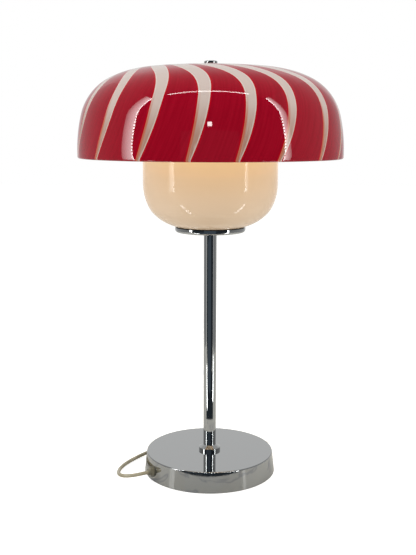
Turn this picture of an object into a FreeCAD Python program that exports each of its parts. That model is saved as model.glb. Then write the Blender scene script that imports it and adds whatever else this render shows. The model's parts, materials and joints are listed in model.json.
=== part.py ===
"""Mushroom table lamp: striped glass shade over an opal glass diffuser, on a chromed stem and drum base.

Millimetres, +Z up. The origin is where the lamp's axis meets the table. The front, away from which
the cord leaves to the left and back, looks along -Y.
"""
import FreeCAD
import Part

import math
import os

from FreeCAD import Vector

# ---------------------------------------------------------------- base
BASE_BOTTOM_R = 83.0
BASE_TOP_R = 80.0
BASE_HEIGHT = 26.0
COVER_WALL = 1.2
COVER_EDGE_R = 1.4
COVER_LIFT = 0.6
PAD_THICKNESS = 2.0
PAD_INSET = 4.0
WEIGHT_CLEARANCE = 1.2
RECESS_R = 24.0
RECESS_WEB = 3.8
CHANNEL_WIDTH = 15.0
CHANNEL_WEB = 6.0
INNER_DIP_START = 33.6
INNER_DIP_END = 2.4
INNER_BEND_R = 8.6

# ---------------------------------------------------------------- stem and central rod
STEM_R = 8.0
STEM_WALL = 1.0
STEM_LENGTH = 280.0
FIT = 0.08
RING_R = 13.7
RING_SIDE = 3.5
RING_RISE = 3.1
ROD_R = 5.0
ROD_BORE_R = 3.5
ROD_HOLE_CLEARANCE = 0.3
ROD_STANDOUT = 1.4
CLOSE_FIT = 0.2
WIRE_HOLE_R = 2.6
WIRE_HOLE_RISE = 5.0
NUT_FLATS = 17.0
NUT_HEIGHT = 5.0
WASHER_R = 15.0
WASHER_THICKNESS = 1.6

# ---------------------------------------------------------------- plate and diffuser
PLATE_R = 43.5
PLATE_THICKNESS = 5.9
PLATE_EDGE_R = 3.6
GASKET_THICKNESS = 0.6
GASKET_INSET = 1.6
DIFFUSER_FLAT_R = 38.07
DIFFUSER_RADII = (20.0, 58.0, 26.0, 60.0)
DIFFUSER_SLOPES = (15.0, 47.0, 60.0, 90.0)
DIFFUSER_WALL = 3.0
DIFFUSER_HEIGHT = 117.5
DIFFUSER_HOLE_R = 9.0
CLAMP_R = 27.0
CLAMP_THICKNESS = 1.5
CLAMP_GASKET = 1.0

# ---------------------------------------------------------------- lampholders and bulbs
HOLDER_REACH = 36.0
HOLDER_TURN = -25.0
BRACKET_WIDTH = 18.0
BRACKET_THICKNESS = 2.0
HOLDER_R = 12.5
HOLDER_HEIGHT = 42.0
HOLDER_FLOOR = 14.0
HOLDER_EDGE_R = 1.5
SHELL_R = 7.8
SHELL_WALL = 0.5
SHELL_LENGTH = 25.0
SCREW_R = 2.0
SCREW_HEAD_R = 3.6
SCREW_HEAD = 2.4
SCREW_LENGTH = 8.0
CAP_R = 6.9
CAP_LENGTH = 25.0
CAP_GAP = 1.5
CAP_TIP = 2.0
BULB_R = 22.5
BULB_NECK_R = 8.4
BULB_NECK_RISE = 30.0
BULB_NECK_HOLLOW = 1.0
BULB_JOIN_R = 13.95
LEAD_WIRE_R = 1.0
LEAD_SPREAD = 1.2
LEAD_START = 0.6
LEAD_FIRST_BEND_R = 1.1
LEAD_BEND_R = 8.0
LEAD_STRAIGHT = 4.0
LEAD_DROP = 4.0
LEAD_ENTRY = 1.0

# ---------------------------------------------------------------- shade and finial
SHADE_CROWN_Z = 505.8
SHADE_RADII = (820.0, 116.0, 65.0, 190.0)
SHADE_SLOPES = (5.6, 26.8, 76.7, 92.1)
SHADE_WALL = 4.0
SHADE_HOLE_R = 7.0
SEAT_R = 25.0
SEAT_THICKNESS = 2.0
SEAT_RING_THICKNESS = 1.8
SEAT_GAP = 0.3
KNOB_R = 8.0
KNOB_HEIGHT = 4.1
KNOB_EDGE_R = 1.5
KNOB_CAP = 2.4
BOSS_R = 6.3
BOSS_LENGTH = 6.0
KNOB_WASHER_R = 7.6
KNOB_WASHER_THICKNESS = 1.0
KNOB_WASHER_SINK = 0.5
TURNING_GAP = 0.1

# ---------------------------------------------------------------- cord, switch and plug
CORD_D = 4.5
CORD_AZIMUTH = 210.0
CORD_HEIGHT = 11.5
BUSHING_FLANGE_R = 6.5
BUSHING_FLANGE = 2.2
BUSHING_SLEEVE_R = 4.3
BUSHING_SNOUT_R = 3.5
BUSHING_SNOUT = 4.0
BUSHING_INNER = 5.0
CORD_CLEARANCE = 0.1
SWITCH_SIZE = (46.0, 17.0, 12.0)
SWITCH_CENTRE = (-63.1, 73.8)
SWITCH_HEADING = 60.0
SWITCH_AXIS_Z = 5.0
SWITCH_WALL = 1.6
SWITCH_SPLIT_Z = 5.5
SWITCH_CORNER_R = 6.5
SWITCH_EDGE_R = 2.0
SWITCH_END_WALL = 5.6
ROCKER_SIZE = (14.0, 7.0, 5.0)
ROCKER_R = 8.75
ROCKER_PROUD = 1.6
ROCKER_GAP = 0.4
TAIL_LENGTH = 14.0
TAIL_HIGH = 6.0
TAIL_END = 2.5
PLUG_SIZE = (30.0, 22.0, 11.0)
PLUG_EDGE_R = 2.4
PLUG_BACK_BEVEL = 2.2
PLUG_NECK = 10.0
PLUG_NECK_ROOT = 3.0
PLUG_NECK_R = 3.6
PLUG_NECK_FLARE = 1.2
BLADE_SIZE = (16.0, 6.3, 1.5)
BLADE_SPACING = 12.7
BLADE_ROOT = 4.0

# Hank: flat loops behind the base, in two layers, drawn in at the waist by a tie.
HANK_CENTRE = (3.8, 100.2)
HANK_RUN = 62.0
HANK_OUTER_R = 17.35
HANK_STEP = 5.3
HANK_LAYER = 4.95
HANK_WAIST = 4.5
HANK_ENTRY_TURN = 65.0
HANK_EXIT_TURN = 64.0
LOWER_BENDS = 4
UPPER_BENDS = 2
TIE_WIDTH = 8.0
TIE_THICKNESS = 0.6
TIE_GAP = 0.15

# Route of the cord from the bushing to the switch, chosen by hand; its first and last points are worked out.
LEAD_ROUTE = [
    (-85.0, -49.1, 11.2),
    (-97.6, -50.4, 9.4),
    (-109.0, -43.5, 6.6),
    (-115.0, -29.5, 4.0),
    (-114.6, -8.0, 2.6),
    (-106.0, 14.0, 2.4),
    (-93.5, 31.0, 3.4),
    (-80.3, 44.0, 4.95),
]

# ---------------------------------------------------------------- heights that follow from the sizes above
COVER_TOP = BASE_HEIGHT
WEIGHT_TOP = BASE_HEIGHT - COVER_WALL
RECESS_TOP = WEIGHT_TOP - RECESS_WEB
BASE_NUT_TOP = RECESS_TOP - WASHER_THICKNESS
ROD_BOTTOM = BASE_NUT_TOP - NUT_HEIGHT - ROD_STANDOUT
PLATE_BOTTOM = COVER_TOP + STEM_LENGTH
PLATE_TOP = PLATE_BOTTOM + PLATE_THICKNESS
GLASS_BOTTOM = PLATE_TOP + GASKET_THICKNESS
GLASS_FLOOR = GLASS_BOTTOM + DIFFUSER_WALL
CLAMP_BOTTOM = GLASS_FLOOR + CLAMP_GASKET
CLAMP_TOP = CLAMP_BOTTOM + CLAMP_THICKNESS
BRACKET_BOTTOM = CLAMP_TOP + NUT_HEIGHT
BRACKET_TOP = BRACKET_BOTTOM + BRACKET_THICKNESS
WIRE_HOLE_Z = BRACKET_TOP + NUT_HEIGHT + WIRE_HOLE_RISE
HOLDER_TOP = BRACKET_TOP + HOLDER_HEIGHT
SHELL_BOTTOM = BRACKET_TOP + HOLDER_FLOOR
CAP_TOP = HOLDER_TOP + CAP_GAP
BULB_CENTRE_Z = CAP_TOP + BULB_NECK_RISE
SHADE_INNER_CROWN = SHADE_CROWN_Z - SHADE_WALL
KNOB_BOTTOM = SHADE_CROWN_Z + KNOB_WASHER_THICKNESS + TURNING_GAP
KNOB_TOP = KNOB_BOTTOM + KNOB_HEIGHT
ROD_TOP = KNOB_TOP - KNOB_CAP - TURNING_GAP
CORD_R = CORD_D / 2
QUARTER = 90.0
Z = Vector(0, 0, 1)
ORIGIN = Vector(0, 0, 0)


# ---------------------------------------------------------------- helpers
def disc(radius, bottom, height, hole=0.0):
    """Return an upright disc or ring standing on the height `bottom`."""
    body = Part.makeCylinder(radius, height, Vector(0, 0, bottom))
    if hole > 0:
        body = body.cut(Part.makeCylinder(hole, height + 2, Vector(0, 0, bottom - 1)))
    return body


def hex_nut(bottom, bore, height=NUT_HEIGHT, flats=NUT_FLATS):
    """Return a hexagonal nut with chamfered corners round the lamp's axis."""
    corner = flats / math.sqrt(3)
    turns = [math.radians(60 * i) for i in range(7)]
    outline = Part.makePolygon([Vector(corner * math.cos(a), corner * math.sin(a), bottom) for a in turns])
    prism = Part.Face(outline).extrude(Vector(0, 0, height))
    bevel = corner - flats / 2
    top = bottom + height
    cone_low = Part.makeCone(flats / 2, corner, bevel, Vector(0, 0, bottom))
    cone_high = Part.makeCone(corner, flats / 2, bevel, Vector(0, 0, top - bevel))
    middle = disc(corner, bottom + bevel, height - 2 * bevel)
    rounded = prism.common(cone_low.fuse([middle, cone_high]).removeSplitter())
    return rounded.cut(Part.makeCylinder(bore, height + 2, Vector(0, 0, bottom - 1)))


def revolve(edges):
    """Return the solid swept by a closed outline in the XZ plane round the lamp's axis."""
    outline = Part.Wire(Part.__sortEdges__(edges))
    return Part.Face(outline).revolve(ORIGIN, Z, 360)


def line(a, b):
    """Return a straight edge between two (radius, height) points."""
    return Part.makeLine(Vector(a[0], 0, a[1]), Vector(b[0], 0, b[1]))


def arc(a, middle, b):
    """Return an arc through three (radius, height) points."""
    points = [Vector(p[0], 0, p[1]) for p in (a, middle, b)]
    return Part.Arc(*points).toShape()


def arc_chain(start, radii, slopes, rise):
    """Return the tangent arcs of a meridian and its last point.

    The chain starts level at `start` and turns by the slopes, in degrees, up (rise = 1) or down (-1).
    """
    edges = []
    point = start
    slope = 0.0
    for radius, end in zip(radii, slopes):
        end = math.radians(end)

        def at(angle):
            across = point[0] + radius * (math.sin(angle) - math.sin(slope))
            return (across, point[1] + rise * radius * (math.cos(slope) - math.cos(angle)))

        edges.append(arc(point, at((slope + end) / 2), at(end)))
        point, slope = at(end), end
    return edges, point


def drop_at(radius):
    """Return how far the inside of the crown has dropped at a radius within the crown's first arc."""
    inner = SHADE_RADII[0] - SHADE_WALL
    return inner - math.sqrt(inner ** 2 - radius ** 2)


def turned(shape, angle, centre=ORIGIN):
    """Return a copy turned about a vertical line through `centre`."""
    copy = shape.copy()
    copy.rotate(centre, Z, angle)
    return copy


def route_radii(points):
    """Return the arc radius at each inner point of a route, 0.45 of the shorter run over tan(turn / 2)."""
    radii = []
    for before, here, after in zip(points, points[1:], points[2:]):
        turn = (here - before).getAngle(after - here)
        shorter = min((here - before).Length, (after - here).Length)
        radii.append(0.45 * shorter / math.tan(turn / 2))
    return radii


def route_edges(points, radii):
    """Return straight runs joined by tangent arcs along a route."""
    edges = []
    start = points[0]
    for before, here, after, radius in zip(points, points[1:], points[2:], radii):
        ahead = (after - here).normalize()
        back = (before - here).normalize()
        reach = radius * math.tan((math.pi - back.getAngle(ahead)) / 2)
        first = here + back * reach
        last = here + ahead * reach
        bisector = (back + ahead).normalize()
        middle = here + bisector * (math.hypot(radius, reach) - radius)
        edges.append(Part.LineSegment(start, first).toShape())
        edges.append(Part.Arc(first, middle, last).toShape())
        start = last
    edges.append(Part.LineSegment(start, points[-1]).toShape())
    return edges


def tube(edges, radius, name):
    """Return a round tube along a chain of edges, and print its length and volume for comparison."""
    path = Part.Wire(edges)
    first = edges[0]
    start = first.valueAt(first.FirstParameter)
    along = first.tangentAt(first.FirstParameter)
    ring = Part.Wire(Part.Circle(start, along, radius).toShape())
    solid = path.makePipeShell([ring], True, False)
    expected = math.pi * radius ** 2 * path.Length
    print(f"{name}: length {path.Length:.1f} mm, volume {solid.Volume:.0f}, section x length {expected:.0f}")
    return solid


def routed_tube(points, radius, name):
    """Return a tube along a hand-chosen route, and print its bend radii."""
    radii = route_radii(points)
    print(f"{name}: bend radii " + " ".join(f"{r:.0f}" for r in radii))
    return tube(route_edges(points, radii), radius, name)


def level(heading):
    """Return the level unit vector at a heading in degrees from +X."""
    angle = math.radians(heading)
    return Vector(math.cos(angle), math.sin(angle), 0)


def along_cord(distance, height=CORD_HEIGHT):
    """Return a point on the cord's level way out of the base, at a distance from the lamp's axis."""
    return level(CORD_AZIMUTH) * distance + Vector(0, 0, height)


# ---------------------------------------------------------------- base
def base_side_r(height):
    """Return the outer radius of the cover's sloping side at a height."""
    return BASE_BOTTOM_R + (BASE_TOP_R - BASE_BOTTOM_R) * height / BASE_HEIGHT


def cover_inside():
    """Return the space inside the cover, up to its top wall."""
    height = BASE_HEIGHT - COVER_WALL
    return Part.makeCone(BASE_BOTTOM_R - COVER_WALL, base_side_r(height) - COVER_WALL, height)


def make_base_cover():
    """Return the spun cover: an open drum with a rounded upper edge, a rod hole and the cord's hole."""
    low_r = base_side_r(COVER_LIFT)
    outer = Part.makeCone(low_r, BASE_TOP_R, BASE_HEIGHT - COVER_LIFT, Vector(0, 0, COVER_LIFT))
    rim = [e for e in outer.Edges if abs(e.BoundBox.ZMin - BASE_HEIGHT) < 0.01]
    outer = outer.makeFillet(COVER_EDGE_R, rim)
    shell = outer.cut(cover_inside())
    shell = shell.cut(Part.makeCylinder(ROD_R + ROD_HOLE_CLEARANCE, 2 * BASE_HEIGHT))
    cord_hole = Part.makeCylinder(BUSHING_SLEEVE_R, 2 * BASE_BOTTOM_R, along_cord(0), level(CORD_AZIMUTH))
    return shell.cut(cord_hole)


def make_base_weight():
    """Return the cast disc that follows the cover, with a recess for the nut and a channel for the cord."""
    inset = COVER_WALL + WEIGHT_CLEARANCE
    low_r = base_side_r(PAD_THICKNESS) - inset
    high_r = base_side_r(WEIGHT_TOP) - inset
    body = Part.makeCone(low_r, high_r, WEIGHT_TOP - PAD_THICKNESS, Vector(0, 0, PAD_THICKNESS))
    rod_hole = disc(ROD_R + ROD_HOLE_CLEARANCE, 0, BASE_HEIGHT)
    recess = disc(RECESS_R, 0, RECESS_TOP)
    height = WEIGHT_TOP - CHANNEL_WEB
    channel = Part.makeBox(2 * BASE_BOTTOM_R, CHANNEL_WIDTH, height, Vector(0, -CHANNEL_WIDTH / 2, 0))
    return body.cut([rod_hole, recess, turned(channel, CORD_AZIMUTH)])


def make_bushing(cover):
    """Return the cord's bushing: flange against the cover, sleeve through its hole and tapered snout."""
    out = level(CORD_AZIMUTH)
    wall_r = base_side_r(CORD_HEIGHT)
    flange_start = wall_r - COVER_WALL
    flange = Part.makeCylinder(BUSHING_FLANGE_R, COVER_WALL + BUSHING_FLANGE, along_cord(flange_start), out)
    sleeve = Part.makeCylinder(BUSHING_SLEEVE_R, BUSHING_INNER + 1, along_cord(flange_start - BUSHING_INNER), out)
    snout_r = wall_r + BUSHING_FLANGE
    snout = Part.makeCone(BUSHING_SLEEVE_R, BUSHING_SNOUT_R, BUSHING_SNOUT, along_cord(snout_r), out)
    flange = flange.cut(cover).cut(cover_inside())
    bore = Part.makeCylinder(CORD_R + CORD_CLEARANCE, BASE_BOTTOM_R, along_cord(BASE_BOTTOM_R / 2), out)
    return flange.fuse([sleeve, snout]).removeSplitter().cut(bore)


def cord_exit():
    """Return the point where the cord leaves its bushing."""
    return along_cord(base_side_r(CORD_HEIGHT) + BUSHING_FLANGE + BUSHING_SNOUT)


def make_inner_cord():
    """Return the cord inside the lamp: in from the bushing, along the channel and up the hollow rod."""
    low = PAD_THICKNESS + CORD_R + CORD_CLEARANCE
    points = [
        cord_exit(),
        along_cord(RECESS_R + INNER_DIP_START),
        along_cord(RECESS_R + INNER_DIP_END, low),
        Vector(0, 0, low),
        Vector(0, 0, WIRE_HOLE_Z - WIRE_HOLE_R),
    ]
    radii = route_radii(points)
    radii[-1] = INNER_BEND_R
    return tube(route_edges(points, radii), CORD_R, "inner_cord")


def build_base():
    """Return the nodes of the base."""
    cover = make_base_cover()
    return {
        "base_cover": cover,
        "base_weight": make_base_weight(),
        "base_pad": disc(BASE_BOTTOM_R - PAD_INSET, 0, PAD_THICKNESS),
        "base_washer": disc(WASHER_R, BASE_NUT_TOP, WASHER_THICKNESS, ROD_R),
        "base_nut": hex_nut(BASE_NUT_TOP - NUT_HEIGHT, ROD_R),
        "cord_bushing": make_bushing(cover),
        "inner_cord": make_inner_cord(),
    }


# ---------------------------------------------------------------- stem
def make_rod():
    """Return the hollow rod that clamps the lamp together, with a cross hole for the leads."""
    rod = disc(ROD_R, ROD_BOTTOM, ROD_TOP - ROD_BOTTOM, ROD_BORE_R)
    middle = Vector(0, 0, WIRE_HOLE_Z)
    out = level(HOLDER_TURN)
    return rod.cut(Part.makeCylinder(WIRE_HOLE_R, 4 * ROD_R, middle - out * 2 * ROD_R, out))


def make_stem_ring():
    """Return the collar at the stem's foot: a low cylinder under a shallow cone."""
    bore = STEM_R + FIT
    foot = COVER_TOP
    shoulder = foot + RING_SIDE
    top = shoulder + RING_RISE
    corners = [(bore, foot), (RING_R, foot), (RING_R, shoulder), (bore, top)]
    return revolve([line(a, b) for a, b in zip(corners, corners[1:] + corners[:1])])


def build_stem():
    """Return the nodes of the stem."""
    return {
        "stem_tube": disc(STEM_R, COVER_TOP, STEM_LENGTH, STEM_R - STEM_WALL),
        "stem_ring": make_stem_ring(),
        "threaded_rod": make_rod(),
    }


# ---------------------------------------------------------------- diffuser
def make_plate():
    """Return the turned plate that carries the diffuser, with a well-rounded lower edge."""
    hole = ROD_R + ROD_HOLE_CLEARANCE
    edge = PLATE_EDGE_R
    centre = (PLATE_R - edge, PLATE_BOTTOM + edge)
    middle = (centre[0] + edge * math.sin(math.pi / 4), centre[1] - edge * math.cos(math.pi / 4))
    side_foot = (PLATE_R, PLATE_BOTTOM + edge)
    return revolve([
        line((hole, PLATE_BOTTOM), (centre[0], PLATE_BOTTOM)),
        arc((centre[0], PLATE_BOTTOM), middle, side_foot),
        line(side_foot, (PLATE_R, PLATE_TOP)),
        line((PLATE_R, PLATE_TOP), (hole, PLATE_TOP)),
        line((hole, PLATE_TOP), (hole, PLATE_BOTTOM)),
    ])


def make_diffuser():
    """Return the opal glass bowl: flat foot, deep rounded bottom, straight side and fire-rounded rim."""
    wall = DIFFUSER_WALL
    outer, outer_end = arc_chain((DIFFUSER_FLAT_R, GLASS_BOTTOM), DIFFUSER_RADII, DIFFUSER_SLOPES, 1)
    inner_radii = [r - wall for r in DIFFUSER_RADII]
    inner, inner_end = arc_chain((DIFFUSER_FLAT_R, GLASS_FLOOR), inner_radii, DIFFUSER_SLOPES, 1)
    rim = GLASS_BOTTOM + DIFFUSER_HEIGHT - wall / 2
    lip = (outer_end[0] - wall / 2, rim + wall / 2)
    edges = [line((DIFFUSER_HOLE_R, GLASS_BOTTOM), (DIFFUSER_FLAT_R, GLASS_BOTTOM))] + outer
    edges += [
        line(outer_end, (outer_end[0], rim)),
        arc((outer_end[0], rim), lip, (inner_end[0], rim)),
        line((inner_end[0], rim), inner_end),
    ]
    edges += inner
    edges += [
        line((DIFFUSER_FLAT_R, GLASS_FLOOR), (DIFFUSER_HOLE_R, GLASS_FLOOR)),
        line((DIFFUSER_HOLE_R, GLASS_FLOOR), (DIFFUSER_HOLE_R, GLASS_BOTTOM)),
    ]
    return revolve(edges)


def build_diffuser():
    """Return the nodes of the diffuser and of what clamps it."""
    hole = ROD_R + ROD_HOLE_CLEARANCE
    return {
        "diffuser_plate": make_plate(),
        "diffuser_gasket": disc(PLATE_R - GASKET_INSET, PLATE_TOP, GASKET_THICKNESS, DIFFUSER_HOLE_R),
        "diffuser_glass": make_diffuser(),
        "clamp_gasket": disc(CLAMP_R, GLASS_FLOOR, CLAMP_GASKET, DIFFUSER_HOLE_R),
        "clamp_plate": disc(CLAMP_R, CLAMP_BOTTOM, CLAMP_THICKNESS, hole),
        "clamp_nut": hex_nut(CLAMP_TOP, ROD_R),
    }


# ---------------------------------------------------------------- lampholders and bulbs
def holder_spots():
    """Return the axes of the two lampholders, named by the side that each is on."""
    return {
        "right": level(HOLDER_TURN) * HOLDER_REACH,
        "left": level(HOLDER_TURN) * -HOLDER_REACH,
    }


def make_bracket():
    """Return the flat bracket with round ends, a rod hole and two screw holes."""
    half = BRACKET_WIDTH / 2
    size = 2 * HOLDER_REACH
    bar = Part.makeBox(size, BRACKET_WIDTH, BRACKET_THICKNESS, Vector(-size / 2, -half, BRACKET_BOTTOM))
    ends = [
        Part.makeCylinder(half, BRACKET_THICKNESS, Vector(side * HOLDER_REACH, 0, BRACKET_BOTTOM))
        for side in (-1, 1)
    ]
    bar = bar.fuse(ends).removeSplitter()
    holes = [Part.makeCylinder(ROD_R + ROD_HOLE_CLEARANCE, BRACKET_THICKNESS, Vector(0, 0, BRACKET_BOTTOM))]
    for side in (-1, 1):
        spot = Vector(side * HOLDER_REACH, 0, BRACKET_BOTTOM)
        holes.append(Part.makeCylinder(SCREW_R, BRACKET_THICKNESS, spot))
    return turned(bar.cut(holes), HOLDER_TURN)


def make_holder():
    """Return one lampholder's insulating body, with its bore and the screw hole in its foot."""
    body = disc(HOLDER_R, BRACKET_TOP, HOLDER_HEIGHT)
    skirt = [e for e in body.Edges if abs(e.BoundBox.ZMin - HOLDER_TOP) < 0.01 and e.BoundBox.ZLength < 0.01]
    body = body.makeFillet(HOLDER_EDGE_R, skirt)
    body = body.cut(Part.makeCylinder(SHELL_R, HOLDER_HEIGHT, Vector(0, 0, SHELL_BOTTOM)))
    return body.cut(Part.makeCylinder(SCREW_R, SCREW_LENGTH, Vector(0, 0, BRACKET_TOP)))


def make_shell():
    """Return one lampholder's threaded sleeve with its floor."""
    sleeve = disc(SHELL_R, SHELL_BOTTOM, SHELL_LENGTH)
    return sleeve.cut(disc(SHELL_R - SHELL_WALL, SHELL_BOTTOM + SHELL_WALL, SHELL_LENGTH))


def make_screw():
    """Return one pan-headed screw that holds a lampholder on the bracket from below."""
    head = disc(SCREW_HEAD_R, BRACKET_BOTTOM - SCREW_HEAD, SCREW_HEAD)
    rim = [e for e in head.Edges if abs(e.BoundBox.ZMax - (BRACKET_BOTTOM - SCREW_HEAD)) < 0.01]
    head = head.makeFillet(SCREW_HEAD / 3, rim)
    shank = disc(SCREW_R, BRACKET_BOTTOM, BRACKET_THICKNESS + SCREW_LENGTH)
    return head.fuse(shank)


def make_bulb_cap():
    """Return one bulb's screw cap with its contact button."""
    bottom = CAP_TOP - CAP_LENGTH
    cap = disc(CAP_R, bottom + CAP_TIP, CAP_LENGTH - CAP_TIP)
    return cap.fuse(Part.makeCone(CAP_R / 2, CAP_R, CAP_TIP, Vector(0, 0, bottom)))


def make_bulb_glass():
    """Return one bulb's globe, drawn in by an arc to its neck."""
    join = (BULB_JOIN_R, BULB_CENTRE_Z - math.sqrt(BULB_R ** 2 - BULB_JOIN_R ** 2))
    neck = (BULB_NECK_R, CAP_TOP)
    bend = (
        (neck[0] + join[0]) / 2 - BULB_NECK_HOLLOW,
        (neck[1] + join[1]) / 2 + BULB_NECK_HOLLOW,
    )
    top = (0, BULB_CENTRE_Z + BULB_R)
    return revolve([
        line((0, CAP_TOP), neck),
        arc(neck, bend, join),
        arc(join, (BULB_R, BULB_CENTRE_Z), top),
        line(top, (0, CAP_TOP)),
    ])


def make_holder_leads(holders):
    """Return the insulated leads from the rod's cross hole into the side of each lampholder."""
    leads = []
    across = level(HOLDER_TURN + QUARTER)
    face = HOLDER_REACH - HOLDER_R
    for spot in holder_spots().values():
        out = Vector(spot).normalize()
        for side in (-LEAD_SPREAD, LEAD_SPREAD):
            start = across * side + out * LEAD_START + Vector(0, 0, WIRE_HOLE_Z)
            points = [
                start - Z * (WIRE_HOLE_R - CLOSE_FIT),
                start,
                start + out * (ROD_R + LEAD_STRAIGHT),
                start + out * (face - LEAD_STRAIGHT - LEAD_ENTRY) - Z * LEAD_DROP,
                start + out * (face + LEAD_ENTRY) - Z * (LEAD_DROP + LEAD_START),
            ]
            radii = [LEAD_FIRST_BEND_R, LEAD_BEND_R, LEAD_BEND_R]
            lead = tube(route_edges(points, radii), LEAD_WIRE_R, "lead")
            leads.append(lead.cut(holders))
    return Part.makeCompound(leads)


def build_lights():
    """Return the nodes of the bracket, lampholders, screws, leads and bulbs."""
    nodes = {
        "lamp_bracket": make_bracket(),
        "bracket_nut": hex_nut(BRACKET_TOP, ROD_R),
    }
    screws = []
    holders = []
    for side, spot in holder_spots().items():
        pieces = {
            f"lampholder_{side}": make_holder(),
            f"lampholder_shell_{side}": make_shell(),
            f"bulb_cap_{side}": make_bulb_cap(),
            f"bulb_glass_{side}": make_bulb_glass(),
        }
        for name, piece in pieces.items():
            piece.translate(spot)
            nodes[name] = piece
        holders.append(nodes[f"lampholder_{side}"])
        screw = make_screw()
        screw.translate(spot)
        screws.append(screw)
    nodes["holder_screws"] = Part.makeCompound(screws)
    nodes["holder_leads"] = make_holder_leads(holders)
    return nodes


# ---------------------------------------------------------------- shade and finial
def make_shade():
    """Return the blown shade: a flattened dome of four tangent arcs, with a crown hole and a rounded rim."""
    wall = SHADE_WALL
    outer, outer_end = arc_chain((0, SHADE_CROWN_Z), SHADE_RADII, SHADE_SLOPES, -1)
    inner_radii = [r - wall for r in SHADE_RADII]
    inner, inner_end = arc_chain((0, SHADE_INNER_CROWN), inner_radii, SHADE_SLOPES, -1)
    slope = math.radians(SHADE_SLOPES[-1])
    middle = ((outer_end[0] + inner_end[0]) / 2, (outer_end[1] + inner_end[1]) / 2)
    lip = (middle[0] + wall / 2 * math.cos(slope), middle[1] - wall / 2 * math.sin(slope))
    edges = outer + [arc(outer_end, lip, inner_end)] + inner
    edges.append(line((0, SHADE_INNER_CROWN), (0, SHADE_CROWN_Z)))
    return revolve(edges).cut(disc(SHADE_HOLE_R, SHADE_INNER_CROWN - 1, wall + 2))


def make_finial():
    """Return the knob: a disc with rounded edges and a bored boss that screws onto the rod."""
    knob = disc(KNOB_R, KNOB_BOTTOM, KNOB_HEIGHT)
    rims = [e for e in knob.Edges if e.BoundBox.ZLength < 0.01]
    knob = knob.makeFillet(KNOB_EDGE_R, rims)
    boss = disc(BOSS_R, KNOB_BOTTOM - BOSS_LENGTH, BOSS_LENGTH + KNOB_EDGE_R)
    bore = disc(ROD_R + FIT, KNOB_BOTTOM - BOSS_LENGTH - 1, BOSS_LENGTH + 1 + KNOB_HEIGHT - KNOB_CAP)
    return knob.fuse(boss).removeSplitter().cut(bore)


def build_shade():
    """Return the nodes of the shade, its seat and the finial."""
    shade = make_shade()
    sink = KNOB_WASHER_SINK
    washer = disc(KNOB_WASHER_R, SHADE_CROWN_Z - sink, KNOB_WASHER_THICKNESS + sink, BOSS_R + FIT)
    washer = washer.cut([shade, disc(SHADE_HOLE_R, SHADE_CROWN_Z - SHADE_WALL, SHADE_WALL)])
    ring_top = SHADE_INNER_CROWN - drop_at(SEAT_R) - SEAT_GAP
    seat_top = ring_top - SEAT_RING_THICKNESS
    seat_bottom = seat_top - SEAT_THICKNESS
    return {
        "shade_glass": shade,
        "finial_washer": washer,
        "finial_knob": make_finial(),
        "seat_ring": disc(SEAT_R, seat_top, SEAT_RING_THICKNESS, SHADE_HOLE_R),
        "seat_plate": disc(SEAT_R, seat_bottom, SEAT_THICKNESS, ROD_R + ROD_HOLE_CLEARANCE),
        "seat_nut": hex_nut(seat_bottom - NUT_HEIGHT, ROD_R),
    }


# ---------------------------------------------------------------- cord, switch and plug
def placed(shape, centre, heading):
    """Return a shape built along +X turned to a heading and moved to a spot on the table."""
    x, y = centre[:2]
    copy = turned(shape, heading)
    copy.translate(Vector(x, y, 0))
    return copy


def switch_end(side):
    """Return the point where the cord meets the switch, at its rear (-1) or front (1) end."""
    centre = Vector(SWITCH_CENTRE[0], SWITCH_CENTRE[1], SWITCH_AXIS_Z)
    return centre + level(SWITCH_HEADING) * (side * SWITCH_SIZE[0] / 2)


def make_switch():
    """Return the switch's two half casings and its rocker, built along +X and then placed."""
    length, width, height = SWITCH_SIZE
    block = Part.makeBox(length, width, height, Vector(-length / 2, -width / 2, 0))
    uprights = [e for e in block.Edges if e.BoundBox.ZLength > height - 0.01]
    block = block.makeFillet(SWITCH_CORNER_R, uprights)
    top_rim = [e for e in block.Edges if e.BoundBox.ZMin > height - 0.01]
    block = block.makeFillet(SWITCH_EDGE_R, top_rim)
    room = (length - 2 * SWITCH_END_WALL, width - 2 * SWITCH_WALL, height - 2 * SWITCH_WALL)
    hollow = Part.makeBox(*room, Vector(-room[0] / 2, -room[1] / 2, SWITCH_WALL))
    window = [size + 2 * ROCKER_GAP for size in ROCKER_SIZE[:2]]
    opening = Part.makeBox(window[0], window[1], height, Vector(-window[0] / 2, -window[1] / 2, SWITCH_SPLIT_Z))
    casing = block.cut([hollow, opening])
    divide = Part.makeBox(2 * length, 2 * width, SWITCH_SPLIT_Z, Vector(-length, -width, 0))
    axis = Vector(0, ROCKER_SIZE[1] / 2, height + ROCKER_PROUD - ROCKER_R)
    drum = Part.makeCylinder(ROCKER_R, ROCKER_SIZE[1], axis, Vector(0, -1, 0))
    reach = Part.makeBox(
        ROCKER_SIZE[0], ROCKER_SIZE[1], ROCKER_SIZE[2] + ROCKER_PROUD,
        Vector(-ROCKER_SIZE[0] / 2, -ROCKER_SIZE[1] / 2, height - ROCKER_SIZE[2]),
    )
    rocker = drum.common(reach)
    pieces = {"switch_bottom": casing.common(divide), "switch_top": casing.cut(divide), "switch_rocker": rocker}
    return {name: placed(piece, SWITCH_CENTRE, SWITCH_HEADING) for name, piece in pieces.items()}


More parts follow.
